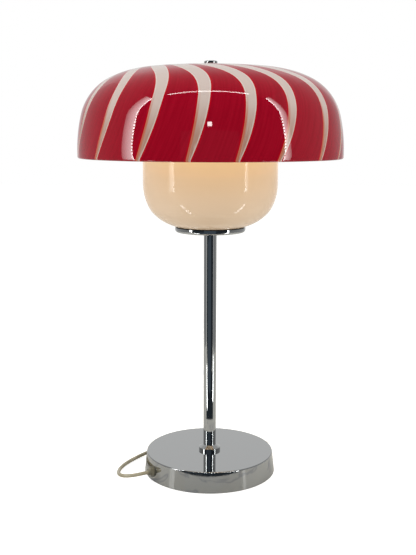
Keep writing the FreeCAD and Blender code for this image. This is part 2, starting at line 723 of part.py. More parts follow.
def make_plug(rear):
    """Return the moulded plug and its two blades, built along +X from the rear and then placed."""
    length, width, height = PLUG_SIZE
    middle_z = height / 2
    block = length - PLUG_NECK
    body = Part.makeBox(block, width, height, Vector(PLUG_NECK, -width / 2, 0))
    body = body.makeFillet(PLUG_EDGE_R, [e for e in body.Edges if e.BoundBox.XLength > block - 0.01])
    back = [e for e in body.Edges if e.BoundBox.XMax < PLUG_NECK + 0.01]
    body = body.makeChamfer(PLUG_BACK_BEVEL, back)
    wide_r = PLUG_NECK_R + PLUG_NECK_FLARE
    start = Vector(0, 0, middle_z)
    relief = Part.makeCone(PLUG_NECK_R, wide_r, PLUG_NECK + PLUG_NECK_ROOT, start, Vector(1, 0, 0))
    body = body.fuse(relief).removeSplitter()
    blades = []
    for side in (-1, 1):
        across = side * BLADE_SPACING / 2 - BLADE_SIZE[2] / 2
        corner = Vector(length - BLADE_ROOT, across, middle_z - BLADE_SIZE[1] / 2)
        blades.append(Part.makeBox(BLADE_SIZE[0] + BLADE_ROOT, BLADE_SIZE[2], BLADE_SIZE[1], corner))
    body = body.cut(blades)
    pieces = {"plug_body": body, "plug_blades": Part.makeCompound(blades)}
    return {name: placed(piece, rear, -HANK_EXIT_TURN) for name, piece in pieces.items()}


class HankPath:
    """A pen that draws the hank's chain of tangent arcs, layer by layer."""

    def __init__(self, x, y, z):
        self.at = Vector(x, y, z)
        self.edges = []

    def add(self, middle, end):
        """Draw an arc to `end` through `middle`."""
        self.edges.append(Part.Arc(self.at, middle, end).toShape())
        self.at = end

    def bend(self, centre, radius, start, turn, parts):
        """Draw a clockwise bend about a centre, in equal arcs."""
        for part in range(parts):
            angles = [start - turn * (part + share) / parts for share in (0.5, 1.0)]
            middle, end = (centre + level(a) * radius for a in angles)
            self.add(middle, end)

    def run(self, direction, bow, climb=0.0):
        """Draw a run of the hank's length that bows in at the waist, and may climb a layer."""
        half = HANK_RUN / 2
        for side in (bow, -bow):
            ahead = Vector(direction * half, 0, climb / 2)
            end = self.at + ahead + Vector(0, side, 0)
            middle = (self.at + end) / 2
            radius = (half ** 2 + bow ** 2) / (4 * abs(bow))
            lean = 2 * math.atan2(abs(bow), half)
            quarter = Vector(direction * radius * math.sin(lean / 2), 0, climb / 8)
            sag = radius * (1 - math.cos(lean / 2)) * (1 if side > 0 else -1)
            self.add(self.at + quarter + Vector(0, sag, 0), middle)
            self.add(end - quarter - Vector(0, sag, 0), end)


def hank_heights():
    """Return the heights of the cord's middle in the hank's lower and upper layers."""
    lower = TIE_THICKNESS + TIE_GAP + CORD_R
    return lower, lower + HANK_LAYER


def make_hank():
    """Return the hank's edges: in on the lower layer, a climb along a run, and out on the upper layer."""
    lower, upper = hank_heights()
    half = HANK_RUN / 2
    far_y = HANK_CENTRE[1] + HANK_OUTER_R
    entry_r = HANK_OUTER_R + HANK_STEP / 2
    entry_centre = Vector(HANK_CENTRE[0] - half, far_y - entry_r, lower)
    start = entry_centre + level(QUARTER + HANK_ENTRY_TURN) * entry_r
    pen = HankPath(*start)
    pen.bend(entry_centre, entry_r, QUARTER + HANK_ENTRY_TURN, HANK_ENTRY_TURN, 1)
    radius = HANK_OUTER_R
    side = 1
    for _ in range(LOWER_BENDS):
        pen.run(side, -side * HANK_WAIST)
        centre = pen.at - Vector(0, side * radius, 0)
        pen.bend(centre, radius, QUARTER * side, 2 * QUARTER, 2)
        radius -= HANK_STEP / 2
        side = -side
    pen.run(side, -side * HANK_WAIST, HANK_LAYER)
    radius += HANK_STEP
    for _ in range(UPPER_BENDS):
        centre = pen.at - Vector(0, side * radius, 0)
        pen.bend(centre, radius, QUARTER * side, 2 * QUARTER, 2)
        radius += HANK_STEP / 2
        side = -side
        pen.run(side, -side * HANK_WAIST)
    centre = pen.at - Vector(0, side * radius, 0)
    pen.bend(centre, radius, QUARTER * side, HANK_EXIT_TURN, 1)
    return pen.edges


def least_gap(edges, step=2.0):
    """Return the least gap between the hank's cord and itself, measured on points along its path."""
    points = Part.Wire(edges).discretize(Distance=step)
    apart = int(6 * CORD_D / step)
    least = min(
        (points[i] - points[j]).Length
        for i in range(len(points))
        for j in range(i + apart, len(points))
    )
    return least - CORD_D


def make_tie():
    """Return the flat tie round the hank's waist: a rounded rectangular band."""
    lower, upper = hank_heights()
    reach = HANK_OUTER_R - HANK_WAIST + CORD_R + TIE_GAP
    top = upper + CORD_R + TIE_GAP

    def loop(grow):
        size = (TIE_WIDTH, 2 * (reach + grow), top - TIE_THICKNESS + 2 * grow)
        corner = Vector(HANK_CENTRE[0] - TIE_WIDTH / 2, HANK_CENTRE[1] - reach - grow, TIE_THICKNESS - grow)
        block = Part.makeBox(*size, corner)
        long_edges = [e for e in block.Edges if e.BoundBox.XLength > TIE_WIDTH - 0.01]
        return block.makeFillet(CORD_R + grow, long_edges)

    return loop(TIE_THICKNESS).cut(loop(0.0))


def build_cord():
    """Return the nodes of the free cord and of what is on it."""
    hank_edges = make_hank()
    hank_start = hank_edges[0].valueAt(hank_edges[0].FirstParameter)
    hank_end = hank_edges[-1].valueAt(hank_edges[-1].LastParameter)
    hank_along = hank_edges[0].tangentAt(hank_edges[0].FirstParameter)
    tail_along = hank_edges[-1].tangentAt(hank_edges[-1].LastParameter)
    plug_rear = hank_end + tail_along * TAIL_LENGTH
    plug_rear.z = PLUG_SIZE[2] / 2
    lead = [cord_exit()] + [Vector(*p) for p in LEAD_ROUTE] + [switch_end(-1)]
    link = [
        switch_end(1),
        switch_end(1) + level(SWITCH_HEADING) * CORD_D,
        hank_start - hank_along * CORD_D,
        hank_start,
    ]
    tail = [
        hank_end,
        hank_end + tail_along * TAIL_HIGH,
        plug_rear - tail_along * TAIL_END,
        plug_rear,
    ]
    print(f"hank: least gap to itself {least_gap(hank_edges):.2f} mm")
    nodes = {
        "cord_lead": routed_tube(lead, CORD_R, "cord_lead"),
        "cord_link": routed_tube(link, CORD_R, "cord_link"),
        "cord_hank": tube(hank_edges, CORD_R, "cord_hank"),
        "cord_tail": routed_tube(tail, CORD_R, "cord_tail"),
        "hank_tie": make_tie(),
    }
    nodes.update(make_switch())
    nodes.update(make_plug(plug_rear))
    return nodes


def main():
    """Build every node and write each one to its own STEP file."""
    os.makedirs("parts", exist_ok=True)
    nodes = {}
    for build in (build_base, build_stem, build_diffuser, build_lights, build_shade, build_cord):
        nodes.update(build())
    for name, shape in nodes.items():
        solids = shape.Solids
        state = "" if shape.isValid() and solids else "  INVALID"
        print(f"{name}: {len(solids)} solid(s), {shape.Volume / 1000:.2f} cm3{state}")
        shape.exportStep(f"parts/{name}.step")


main()
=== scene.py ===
"""Looks of a mushroom table lamp: a striped glass shade over a lit opal diffuser, on chromed metal.

Every length in this file is in millimetres until it reaches Blender, where one unit is a metre.
"""

import json
import logging
import math
from dataclasses import dataclass, field
from enum import Enum
from typing import Any, ClassVar, Dict, Iterable, List, Optional, Sequence, Tuple

import bpy
from mathutils import Euler, Matrix, Vector

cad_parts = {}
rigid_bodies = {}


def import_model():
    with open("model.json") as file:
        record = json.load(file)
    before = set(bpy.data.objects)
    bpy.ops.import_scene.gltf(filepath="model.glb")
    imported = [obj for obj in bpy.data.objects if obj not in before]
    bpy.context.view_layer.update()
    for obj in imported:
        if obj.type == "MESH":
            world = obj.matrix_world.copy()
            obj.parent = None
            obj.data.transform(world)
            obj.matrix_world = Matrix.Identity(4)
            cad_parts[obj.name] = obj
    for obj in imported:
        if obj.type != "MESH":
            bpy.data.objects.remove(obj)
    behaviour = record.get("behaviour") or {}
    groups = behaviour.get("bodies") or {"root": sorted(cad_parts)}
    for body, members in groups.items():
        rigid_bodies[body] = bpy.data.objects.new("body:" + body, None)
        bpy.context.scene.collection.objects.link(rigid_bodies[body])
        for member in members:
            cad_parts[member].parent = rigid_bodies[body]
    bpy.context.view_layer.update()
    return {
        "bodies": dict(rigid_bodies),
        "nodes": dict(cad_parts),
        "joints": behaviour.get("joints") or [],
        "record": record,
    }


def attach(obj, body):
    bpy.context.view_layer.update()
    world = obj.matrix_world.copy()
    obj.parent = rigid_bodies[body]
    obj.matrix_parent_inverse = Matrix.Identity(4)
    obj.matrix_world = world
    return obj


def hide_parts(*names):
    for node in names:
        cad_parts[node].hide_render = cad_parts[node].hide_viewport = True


Point = Tuple[float, float, float]
Socket = bpy.types.NodeSocket
Tree = bpy.types.NodeTree

MM = 0.001
log = logging.getLogger("lamp")


# ---------------------------------------------------------------- small tools
def linear(colour: str) -> Tuple[float, float, float, float]:
    """Turn an sRGB hex colour into linear values.

    Args:
        colour: Six hex digits after a hash.

    Returns:
        Linear red, green and blue, and an alpha of 1.
    """
    shares = [int(colour[i:i + 2], 16) / 255 for i in (1, 3, 5)]
    values = [s / 12.92 if s <= 0.04045 else ((s + 0.055) / 1.055) ** 2.4 for s in shares]
    return (values[0], values[1], values[2], 1.0)


def metres(point: Iterable[float]) -> Vector:
    """Return a point given in millimetres as a vector in metres."""
    return Vector([value * MM for value in point])


def level(heading: float) -> Vector:
    """Return the level unit vector at a heading in degrees from +X."""
    angle = math.radians(heading)
    return Vector((math.cos(angle), math.sin(angle), 0.0))


def scale(size: float) -> float:
    """Return the scale of a noise whose blots are as large as a size in millimetres."""
    return 1 / (size * MM)


def node(
    tree: Tree,
    kind: str,
    settings: Optional[Dict[Any, Any]] = None,
    links: Optional[Dict[Any, Socket]] = None,
    feeds: Optional[Dict[str, Socket]] = None,
) -> bpy.types.Node:
    """Add a node with its settings and links.

    Args:
        tree: The node tree that gets the node.
        kind: Blender's type name of the node.
        settings: Values by input name or number, or else by attribute; `stops` fills a colour ramp.
        links: Output sockets by the name or number of the input that they feed.
        feeds: Inputs of other nodes by the name of the output that feeds them.

    Returns:
        The new node.
    """
    made = tree.nodes.new(kind)
    for key, value in (settings or {}).items():
        if key == "stops":
            ramp = made.color_ramp
            while len(ramp.elements) < len(value):
                ramp.elements.new(0.5)
            for element, (place, colour) in zip(ramp.elements, value):
                element.position = place
                element.color = linear(colour) if isinstance(colour, str) else (colour,) * 3 + (1.0,)
        elif isinstance(key, int) or key in made.inputs:
            made.inputs[key].default_value = value
        else:
            setattr(made, key, value)
    for key, source in (links or {}).items():
        tree.links.new(source, made.inputs[key])
    for key, target in (feeds or {}).items():
        tree.links.new(made.outputs[key], target)
    return made


def add_mesh(
    name: str,
    points: Sequence[Iterable[float]],
    faces: Sequence[Sequence[int]],
    smooth: bool = True,
) -> bpy.types.Object:
    """Make a mesh object from points in millimetres.

    Args:
        name: The object's name.
        points: The vertices, in millimetres.
        faces: The faces, as lists of vertex numbers.
        smooth: Whether its faces are shaded smooth.

    Returns:
        The object, linked into the scene.
    """
    mesh = bpy.data.meshes.new(name)
    mesh.from_pydata([metres(p) for p in points], [], faces)
    mesh.polygons.foreach_set("use_smooth", [smooth] * len(mesh.polygons))
    mesh.update()
    made = bpy.data.objects.new(name, mesh)
    bpy.context.scene.collection.objects.link(made)
    return made


# ---------------------------------------------------------------- finishes
@dataclass(frozen=True)
class Finish:
    """A material, made once and shared by every piece that has it."""

    name: str

    def material(self) -> bpy.types.Material:
        """Make the material at the first call, and find it again at every later one.

        Returns:
            The material.
        """
        found = bpy.data.materials.get(self.name)
        if found:
            return found
        made = bpy.data.materials.new(self.name)
        made.use_nodes = True
        tree = made.node_tree
        self.dress(tree, tree.nodes["Principled BSDF"])
        return made

    def dress(self, tree: Tree, shader: bpy.types.Node) -> None:
        """Give the shader its values and patterns.

        Args:
            tree: The material's node tree.
            shader: Its Principled BSDF node.
        """
        raise NotImplementedError


@dataclass(frozen=True)
class PlatedMetal(Finish):
    """Metal with an electroplated skin: its gloss clouds over slowly, and turning leaves fine lines."""

    colour: str
    roughness: float
    haze: float
    haze_size: float = 9.0
    # Turning leaves lines about 0.1 mm apart. They are drawn four times as coarse, so that they show.
    grain_size: float = 0.4
    grain_depth: float = 0.0

    def dress(self, tree: Tree, shader: bpy.types.Node) -> None:
        """Give it the metal's colour, a clouded gloss and its grain.

        Args:
            tree: The material's node tree.
            shader: Its Principled BSDF node.
        """
        place = node(tree, "ShaderNodeTexCoord").outputs["Object"]
        clouds = node(
            tree,
            "ShaderNodeTexNoise",
            {"Scale": scale(self.haze_size), "Detail": 4.0},
            {"Vector": place},
        )
        gloss = node(
            tree,
            "ShaderNodeMapRange",
            {
                "From Min": 0.3,
                "From Max": 0.7,
                "To Min": self.roughness,
                "To Max": self.roughness + self.haze,
            },
            {"Value": clouds.outputs["Fac"]},
        )
        shader.inputs["Base Color"].default_value = linear(self.colour)
        shader.inputs["Metallic"].default_value = 1.0
        tree.links.new(gloss.outputs["Result"], shader.inputs["Roughness"])
        if self.grain_depth > 0:
            grain = node(
                tree,
                "ShaderNodeTexNoise",
                {"Scale": scale(self.grain_size), "Detail": 2.0},
                {"Vector": place},
            )
            node(
                tree,
                "ShaderNodeBump",
                {"Strength": 1.0, "Distance": self.grain_depth * MM},
                {"Height": grain.outputs["Fac"]},
                {"Normal": shader.inputs["Normal"]},
            )


@dataclass(frozen=True)
class MouldedPolymer(Finish):
    """Plastic or rubber from a mould: an even colour with faint flow marks and the mould's fine grain.

    A mould's own grain is about 0.1 mm wide. Every grain_size given is coarser, so that it shows.
    """

    colour: str
    deep_colour: str
    roughness: float
    grain_size: float
    grain_depth: float
    clearness: float = 0.0
    flow_size: float = 14.0

    def dress(self, tree: Tree, shader: bpy.types.Node) -> None:
        """Give it its colour with flow marks, its gloss and the mould's grain.

        Args:
            tree: The material's node tree.
            shader: Its Principled BSDF node.
        """
        place = node(tree, "ShaderNodeTexCoord").outputs["Object"]
        flow = node(
            tree,
            "ShaderNodeTexNoise",
            {"Scale": scale(self.flow_size), "Detail": 3.0},
            {"Vector": place},
        )
        node(
            tree,
            "ShaderNodeValToRGB",
            {"stops": [(0.35, self.deep_colour), (0.65, self.colour)]},
            {"Fac": flow.outputs["Fac"]},
            feeds={"Color": shader.inputs["Base Color"]},
        )
        shader.inputs["Roughness"].default_value = self.roughness
        shader.inputs["IOR"].default_value = 1.5
        shader.inputs["Transmission Weight"].default_value = self.clearness
        grain = node(
            tree,
            "ShaderNodeTexNoise",
            {"Scale": scale(self.grain_size), "Detail": 3.0},
            {"Vector": place},
        )
        node(
            tree,
            "ShaderNodeBump",
            {"Strength": 1.0, "Distance": self.grain_depth * MM},
            {"Height": grain.outputs["Fac"]},
            {"Normal": shader.inputs["Normal"]},
        )


@dataclass(frozen=True)
class CastIron(Finish):
    """Iron as it leaves a sand mould: dark, dull, and rough with the sand's grain."""

    dark: str = "#2A2A2C"
    pale: str = "#4A4846"
    # Moulding sand is about 0.3 mm coarse. It is drawn coarser, so that it shows.
    sand_size: float = 0.8
    sand_depth: float = 0.25

    def dress(self, tree: Tree, shader: bpy.types.Node) -> None:
        """Give it its mottled grey and its sandy skin.

        Args:
            tree: The material's node tree.
            shader: Its Principled BSDF node.
        """
        sand = node(
            tree,
            "ShaderNodeTexNoise",
            {"Scale": scale(self.sand_size), "Detail": 6.0, "Roughness": 0.7},
            {"Vector": node(tree, "ShaderNodeTexCoord").outputs["Object"]},
        )
        node(
            tree,
            "ShaderNodeValToRGB",
            {"stops": [(0.3, self.dark), (0.75, self.pale)]},
            {"Fac": sand.outputs["Fac"]},
            feeds={"Color": shader.inputs["Base Color"]},
        )
        shader.inputs["Metallic"].default_value = 0.6
        shader.inputs["Roughness"].default_value = 0.72
        node(
            tree,
            "ShaderNodeBump",
            {"Strength": 1.0, "Distance": self.sand_depth * MM},
            {"Height": sand.outputs["Fac"]},
            {"Normal": shader.inputs["Normal"]},
        )


@dataclass(frozen=True)
class NeedledFelt(Finish):
    """Wool felt: short fibres lying every way, which break up the light and leave a soft bloom."""

    dark: str = "#141415"
    pale: str = "#2C2B2C"
    # A wool fibre is about 0.03 mm thick. Tufts of them are drawn, so that they show.
    fibre_width: float = 0.35
    nap_depth: float = 0.3

    def dress(self, tree: Tree, shader: bpy.types.Node) -> None:
        """Give it its fibres and their bloom.

        Args:
            tree: The material's node tree.
            shader: Its Principled BSDF node.
        """
        fibres = node(
            tree,
            "ShaderNodeTexNoise",
            {"Scale": scale(self.fibre_width), "Detail": 8.0, "Distortion": 2.5},
            {"Vector": node(tree, "ShaderNodeTexCoord").outputs["Object"]},
        )
        node(
            tree,
            "ShaderNodeValToRGB",
            {"stops": [(0.35, self.dark), (0.7, self.pale)]},
            {"Fac": fibres.outputs["Fac"]},
            feeds={"Color": shader.inputs["Base Color"]},
        )
        shader.inputs["Roughness"].default_value = 0.95
        shader.inputs["Sheen Weight"].default_value = 0.4
        node(
            tree,
            "ShaderNodeBump",
            {"Strength": 1.0, "Distance": self.nap_depth * MM},
            {"Height": fibres.outputs["Fac"]},
            {"Normal": shader.inputs["Normal"]},
        )


@dataclass(frozen=True)
class OpalGlass(Finish):
    """Blown opal glass with a lamp behind it: an even milky glow, warmer and brighter near the bulbs.

    `glow_levels` gives the glow's strength by its share of the height from `glow_foot` to `glow_top`.
    """

    body: str = "#D4BFA8"
    pale_glow: str = "#D8B48C"
    warm_glow: str = "#E2B06C"
    glow: float = 0.42
    glow_centres: Tuple[Point, Point] = ((6.0, -58.0, 412.0), (-6.0, 58.0, 412.0))
    glow_core: float = 35.0
    glow_reach: float = 92.0
    glow_foot: float = 312.0
    glow_top: float = 430.0
    glow_levels: Tuple[Tuple[float, float], ...] = (
        (0.0, 0.42),
        (0.2, 0.58),
        (0.34, 0.74),
        (0.52, 1.0),
        (0.72, 1.55),
    )
    cloud_size: float = 30.0
    cloud_share: float = 0.08

    def nearness(self, tree: Tree, place: Socket) -> Socket:
        """Work out how near a place on the glass is to the bulbs' glow.

        Args:
            tree: The material's node tree.
            place: The place on the glass.

        Returns:
            A share from 0 out of its reach to 1 in its core.
        """
        nearest: Optional[Socket] = None
        for centre in self.glow_centres:
            gap = node(
                tree,
                "ShaderNodeVectorMath",
                {"operation": "DISTANCE", 1: tuple(metres(centre))},
                {0: place},
            ).outputs["Value"]
            if nearest is None:
                nearest = gap
            else:
                nearest = node(
                    tree, "ShaderNodeMath", {"operation": "MINIMUM"}, {0: nearest, 1: gap}
                ).outputs[0]
        return node(
            tree,
            "ShaderNodeMapRange",
            {
                "From Min": self.glow_core * MM,
                "From Max": self.glow_reach * MM,
                "To Min": 1.0,
                "To Max": 0.0,
            },
            {"Value": nearest},
        ).outputs["Result"]

    def dress(self, tree: Tree, shader: bpy.types.Node) -> None:
        """Give it its milky body, and a glow that pales away from the bulbs and dims downwards.

        Args:
            tree: The material's node tree.
            shader: Its Principled BSDF node.
        """
        place = node(tree, "ShaderNodeTexCoord").outputs["Object"]
        clouds = node(
            tree,
            "ShaderNodeTexNoise",
            {"Scale": scale(self.cloud_size), "Detail": 2.0},
            {"Vector": place},
        )
        share = node(
            tree,
            "ShaderNodeMath",
            {"operation": "MULTIPLY_ADD", 1: self.cloud_share},
            {0: clouds.outputs["Fac"], 2: self.nearness(tree, place)},
        )
        node(
            tree,
            "ShaderNodeValToRGB",
            {"stops": [(0.0, self.pale_glow), (0.95, self.warm_glow)]},
            {"Fac": share.outputs[0]},
            feeds={"Color": shader.inputs["Emission Color"]},
        )
        height = node(
            tree,
            "ShaderNodeMapRange",
            {"From Min": self.glow_foot * MM, "From Max": self.glow_top * MM},
            {"Value": node(tree, "ShaderNodeSeparateXYZ", links={0: place}).outputs["Z"]},
        )
        rise = node(
            tree,
            "ShaderNodeValToRGB",
            {"stops": list(self.glow_levels)},
            {"Fac": height.outputs["Result"]},
        )
        strength = node(
            tree,
            "ShaderNodeMath",
            {"operation": "MULTIPLY", 1: self.glow},
            {0: rise.outputs["Color"]},
        )
        tree.links.new(strength.outputs[0], shader.inputs["Emission Strength"])
        shader.inputs["Base Color"].default_value = linear(self.body)
        shader.inputs["Roughness"].default_value = 0.08
        shader.inputs["IOR"].default_value = 1.5
        shader.inputs["Specular IOR Level"].default_value = 0.25


@dataclass(frozen=True)
class LitBulbGlass(Finish):
    """Frosted bulb glass with its lamp on: a white glow that yellows towards the cap."""

    body: str = "#F4EADC"
    cool: str = "#FFF0D8"
    warm: str = "#FFC58A"
    glow: float = 3.0
    cap_height: float = 368.0
    middle_height: float = 400.0

    def dress(self, tree: Tree, shader: bpy.types.Node) -> None:
        """Give it its frosted body and its glow.

        Args:
            tree: The material's node tree.
            shader: Its Principled BSDF node.
        """
        place = node(tree, "ShaderNodeTexCoord").outputs["Object"]
        height = node(tree, "ShaderNodeSeparateXYZ", links={0: place}).outputs["Z"]
        share = node(
            tree,
            "ShaderNodeMapRange",
            {"From Min": self.cap_height * MM, "From Max": self.middle_height * MM},
            {"Value": height},
        )
        node(
            tree,
            "ShaderNodeValToRGB",
            {"stops": [(0.0, self.warm), (1.0, self.cool)]},
            {"Fac": share.outputs["Result"]},
            feeds={"Color": shader.inputs["Emission Color"]},
        )
        shader.inputs["Emission Strength"].default_value = self.glow
        shader.inputs["Base Color"].default_value = linear(self.body)
        shader.inputs["Roughness"].default_value = 0.4


@dataclass(frozen=True)
class RedCasedGlass(Finish):
    """Blown red glass over a white layer, fire-polished: deep, wet colour, purer beside each stripe."""

    body: str = "#9D0922"
    deep: str = "#94041D"
    beside_stripe: str = "#B40014"
    edge_core: float = 0.77
    edge_width: float = 2.2
    streak_size: float = 2.5

    def dress(self, tree: Tree, shader: bpy.types.Node) -> None:
        """Give it its drawn-out streaks, its purer edges and its polish.

        Args:
            tree: The material's node tree.
            shader: Its Principled BSDF node.
        """
        across = node(tree, "ShaderNodeUVMap", {"uv_map": ShadeStripes.ACROSS}).outputs["UV"]
        gaps = node(tree, "ShaderNodeSeparateXYZ", links={0: across})
        nearest = node(
            tree,
            "ShaderNodeMath",
            {"operation": "MINIMUM"},
            {0: gaps.outputs["X"], 1: gaps.outputs["Y"]},
        )
        beside = node(
            tree,
            "ShaderNodeMapRange",
            {"From Min": self.edge_core, "From Max": self.edge_width, "To Min": 1.0, "To Max": 0.0},
            {"Value": nearest.outputs[0]},
        )
        streaks = node(
            tree,
            "ShaderNodeTexNoise",
            {"Scale": 1 / self.streak_size, "Detail": 3.0, "noise_dimensions": "2D"},
            {"Vector": ShadeStripes.drawn_out(tree, across)},
        )
        tone = node(
            tree,
            "ShaderNodeValToRGB",
            {"stops": [(0.35, self.deep), (0.65, self.body)]},
            {"Fac": streaks.outputs["Fac"]},
        )
        mixed = node(
            tree,
            "ShaderNodeMix",
            {"data_type": "RGBA", 7: linear(self.beside_stripe)},
            {0: beside.outputs["Result"], 6: tone.outputs["Color"]},
        )
        tree.links.new(mixed.outputs[2], shader.inputs["Base Color"])
        shader.inputs["Roughness"].default_value = 0.03
        shader.inputs["IOR"].default_value = 1.48


@dataclass(frozen=True)
class CreamStripeGlass(Finish):
    """Drawn cream glass laid in the red: hair lines along it, a burnt edge lower down, and paler edges
    that are a painted highlight.

    Widths are distances from a stripe's edge, as a layer is full up to the first and gone at the second.
    """

    high: str = "#C8BAB2"
    middle: str = "#CBB9B0"
    low: str = "#B08A7B"
    rim: str = "#AE7B68"
    # A paler line along both edges of each stripe: a painted highlight.
    edge_highlight: str = "#D9D0C6"
    burnt: str = "#BC6A4E"
    hair: str = "#C9B7AB"
    rim_height: float = 396.0
    crown_height: float = 506.0
    # Real hair lines are about 0.3 mm apart. They are drawn three times as coarse, so that they show.
    hair_pitch: float = 0.9
    hair_share: float = 0.55
    # Where the painted edge highlight is full and where it is gone, from a stripe's edge, and how strong
    # it is.
    edge_highlight_widths: Tuple[float, float] = (0.9, 1.5)
    edge_highlight_share: float = 0.7
    burnt_widths: Tuple[float, float] = (1.8, 3.0)
    burnt_heights: Tuple[float, float] = (437.0, 472.0)
    burnt_share: float = 0.95

    def dress(self, tree: Tree, shader: bpy.types.Node) -> None:
        """Give it its tone by height, then the hair lines, the painted edge highlight and the burnt edge
        over it.

        Args:
            tree: The material's node tree.
            shader: Its Principled BSDF node.
        """
        place = node(tree, "ShaderNodeTexCoord").outputs["Object"]
        height = node(tree, "ShaderNodeSeparateXYZ", links={0: place}).outputs["Z"]
        rise = node(
            tree,
            "ShaderNodeMapRange",
            {"From Min": self.rim_height * MM, "From Max": self.crown_height * MM},
            {"Value": height},
        )
        tone = node(
            tree,
            "ShaderNodeValToRGB",
            {"stops": [(0.0, self.rim), (0.25, self.low), (0.55, self.middle), (1.0, self.high)]},
            {"Fac": rise.outputs["Result"]},
        )
        across = node(tree, "ShaderNodeUVMap", {"uv_map": ShadeStripes.ACROSS}).outputs["UV"]
        gaps = node(tree, "ShaderNodeSeparateXYZ", links={0: across})
        hairs = node(
            tree,
            "ShaderNodeTexNoise",
            {"Scale": 1 / self.hair_pitch, "Detail": 2.0, "noise_dimensions": "2D"},
            {"Vector": ShadeStripes.drawn_out(tree, across)},
        )
        hairline = node(
            tree,
            "ShaderNodeMapRange",
            {"From Min": 0.56, "From Max": 0.66, "To Max": self.hair_share},
            {"Value": hairs.outputs["Fac"]},
        )
        nearest = node(
            tree,
            "ShaderNodeMath",
            {"operation": "MINIMUM"},
            {0: gaps.outputs["X"], 1: gaps.outputs["Y"]},
        )
        at_edge_highlight, at_left, lower_down = (
            node(
                tree,
                "ShaderNodeMapRange",
                {"From Min": start, "From Max": end, "To Min": full, "To Max": 0.0},
                {"Value": value},
            ).outputs["Result"]
            for value, (start, end), full in (
                (nearest.outputs[0], self.edge_highlight_widths, self.edge_highlight_share),
                (gaps.outputs["X"], self.burnt_widths, 1.0),
                (height, [edge * MM for edge in self.burnt_heights], self.burnt_share),
            )
        )
        burn = node(tree, "ShaderNodeMath", {"operation": "MULTIPLY"}, {0: at_left, 1: lower_down})
        seen = tone.outputs["Color"]
        # Over the tone go the hair lines, then the painted edge highlight, then the burnt edge.
        for colour, share in (
            (self.hair, hairline.outputs["Result"]),
            (self.edge_highlight, at_edge_highlight),
            (self.burnt, burn.outputs[0]),
        ):
            seen = node(
                tree,
                "ShaderNodeMix",
                {"data_type": "RGBA", 7: linear(colour)},
                {0: share, 6: seen},
            ).outputs[2]
        tree.links.new(seen, shader.inputs["Base Color"])
        shader.inputs["Roughness"].default_value = 0.03
        shader.inputs["IOR"].default_value = 1.48


@dataclass(frozen=True)
class WhiteCasing(Finish):
    """The white layer inside the shade: smooth opal glass that throws the bulbs' light down."""

    colour: str = "#EDE6DC"
    deep_colour: str = "#E4DBCF"
    cloud_size: float = 40.0

    def dress(self, tree: Tree, shader: bpy.types.Node) -> None:
        """Give it its faintly clouded white and its gloss.

        Args:
            tree: The material's node tree.
            shader: Its Principled BSDF node.
        """
        clouds = node(
            tree,
            "ShaderNodeTexNoise",
            {"Scale": scale(self.cloud_size), "Detail": 2.0},
            {"Vector": node(tree, "ShaderNodeTexCoord").outputs["Object"]},
        )
        node(
            tree,
            "ShaderNodeValToRGB",
            {"stops": [(0.3, self.deep_colour), (0.7, self.colour)]},
            {"Fac": clouds.outputs["Fac"]},
            feeds={"Color": shader.inputs["Base Color"]},
        )
        shader.inputs["Roughness"].default_value = 0.08
        shader.inputs["IOR"].default_value = 1.5


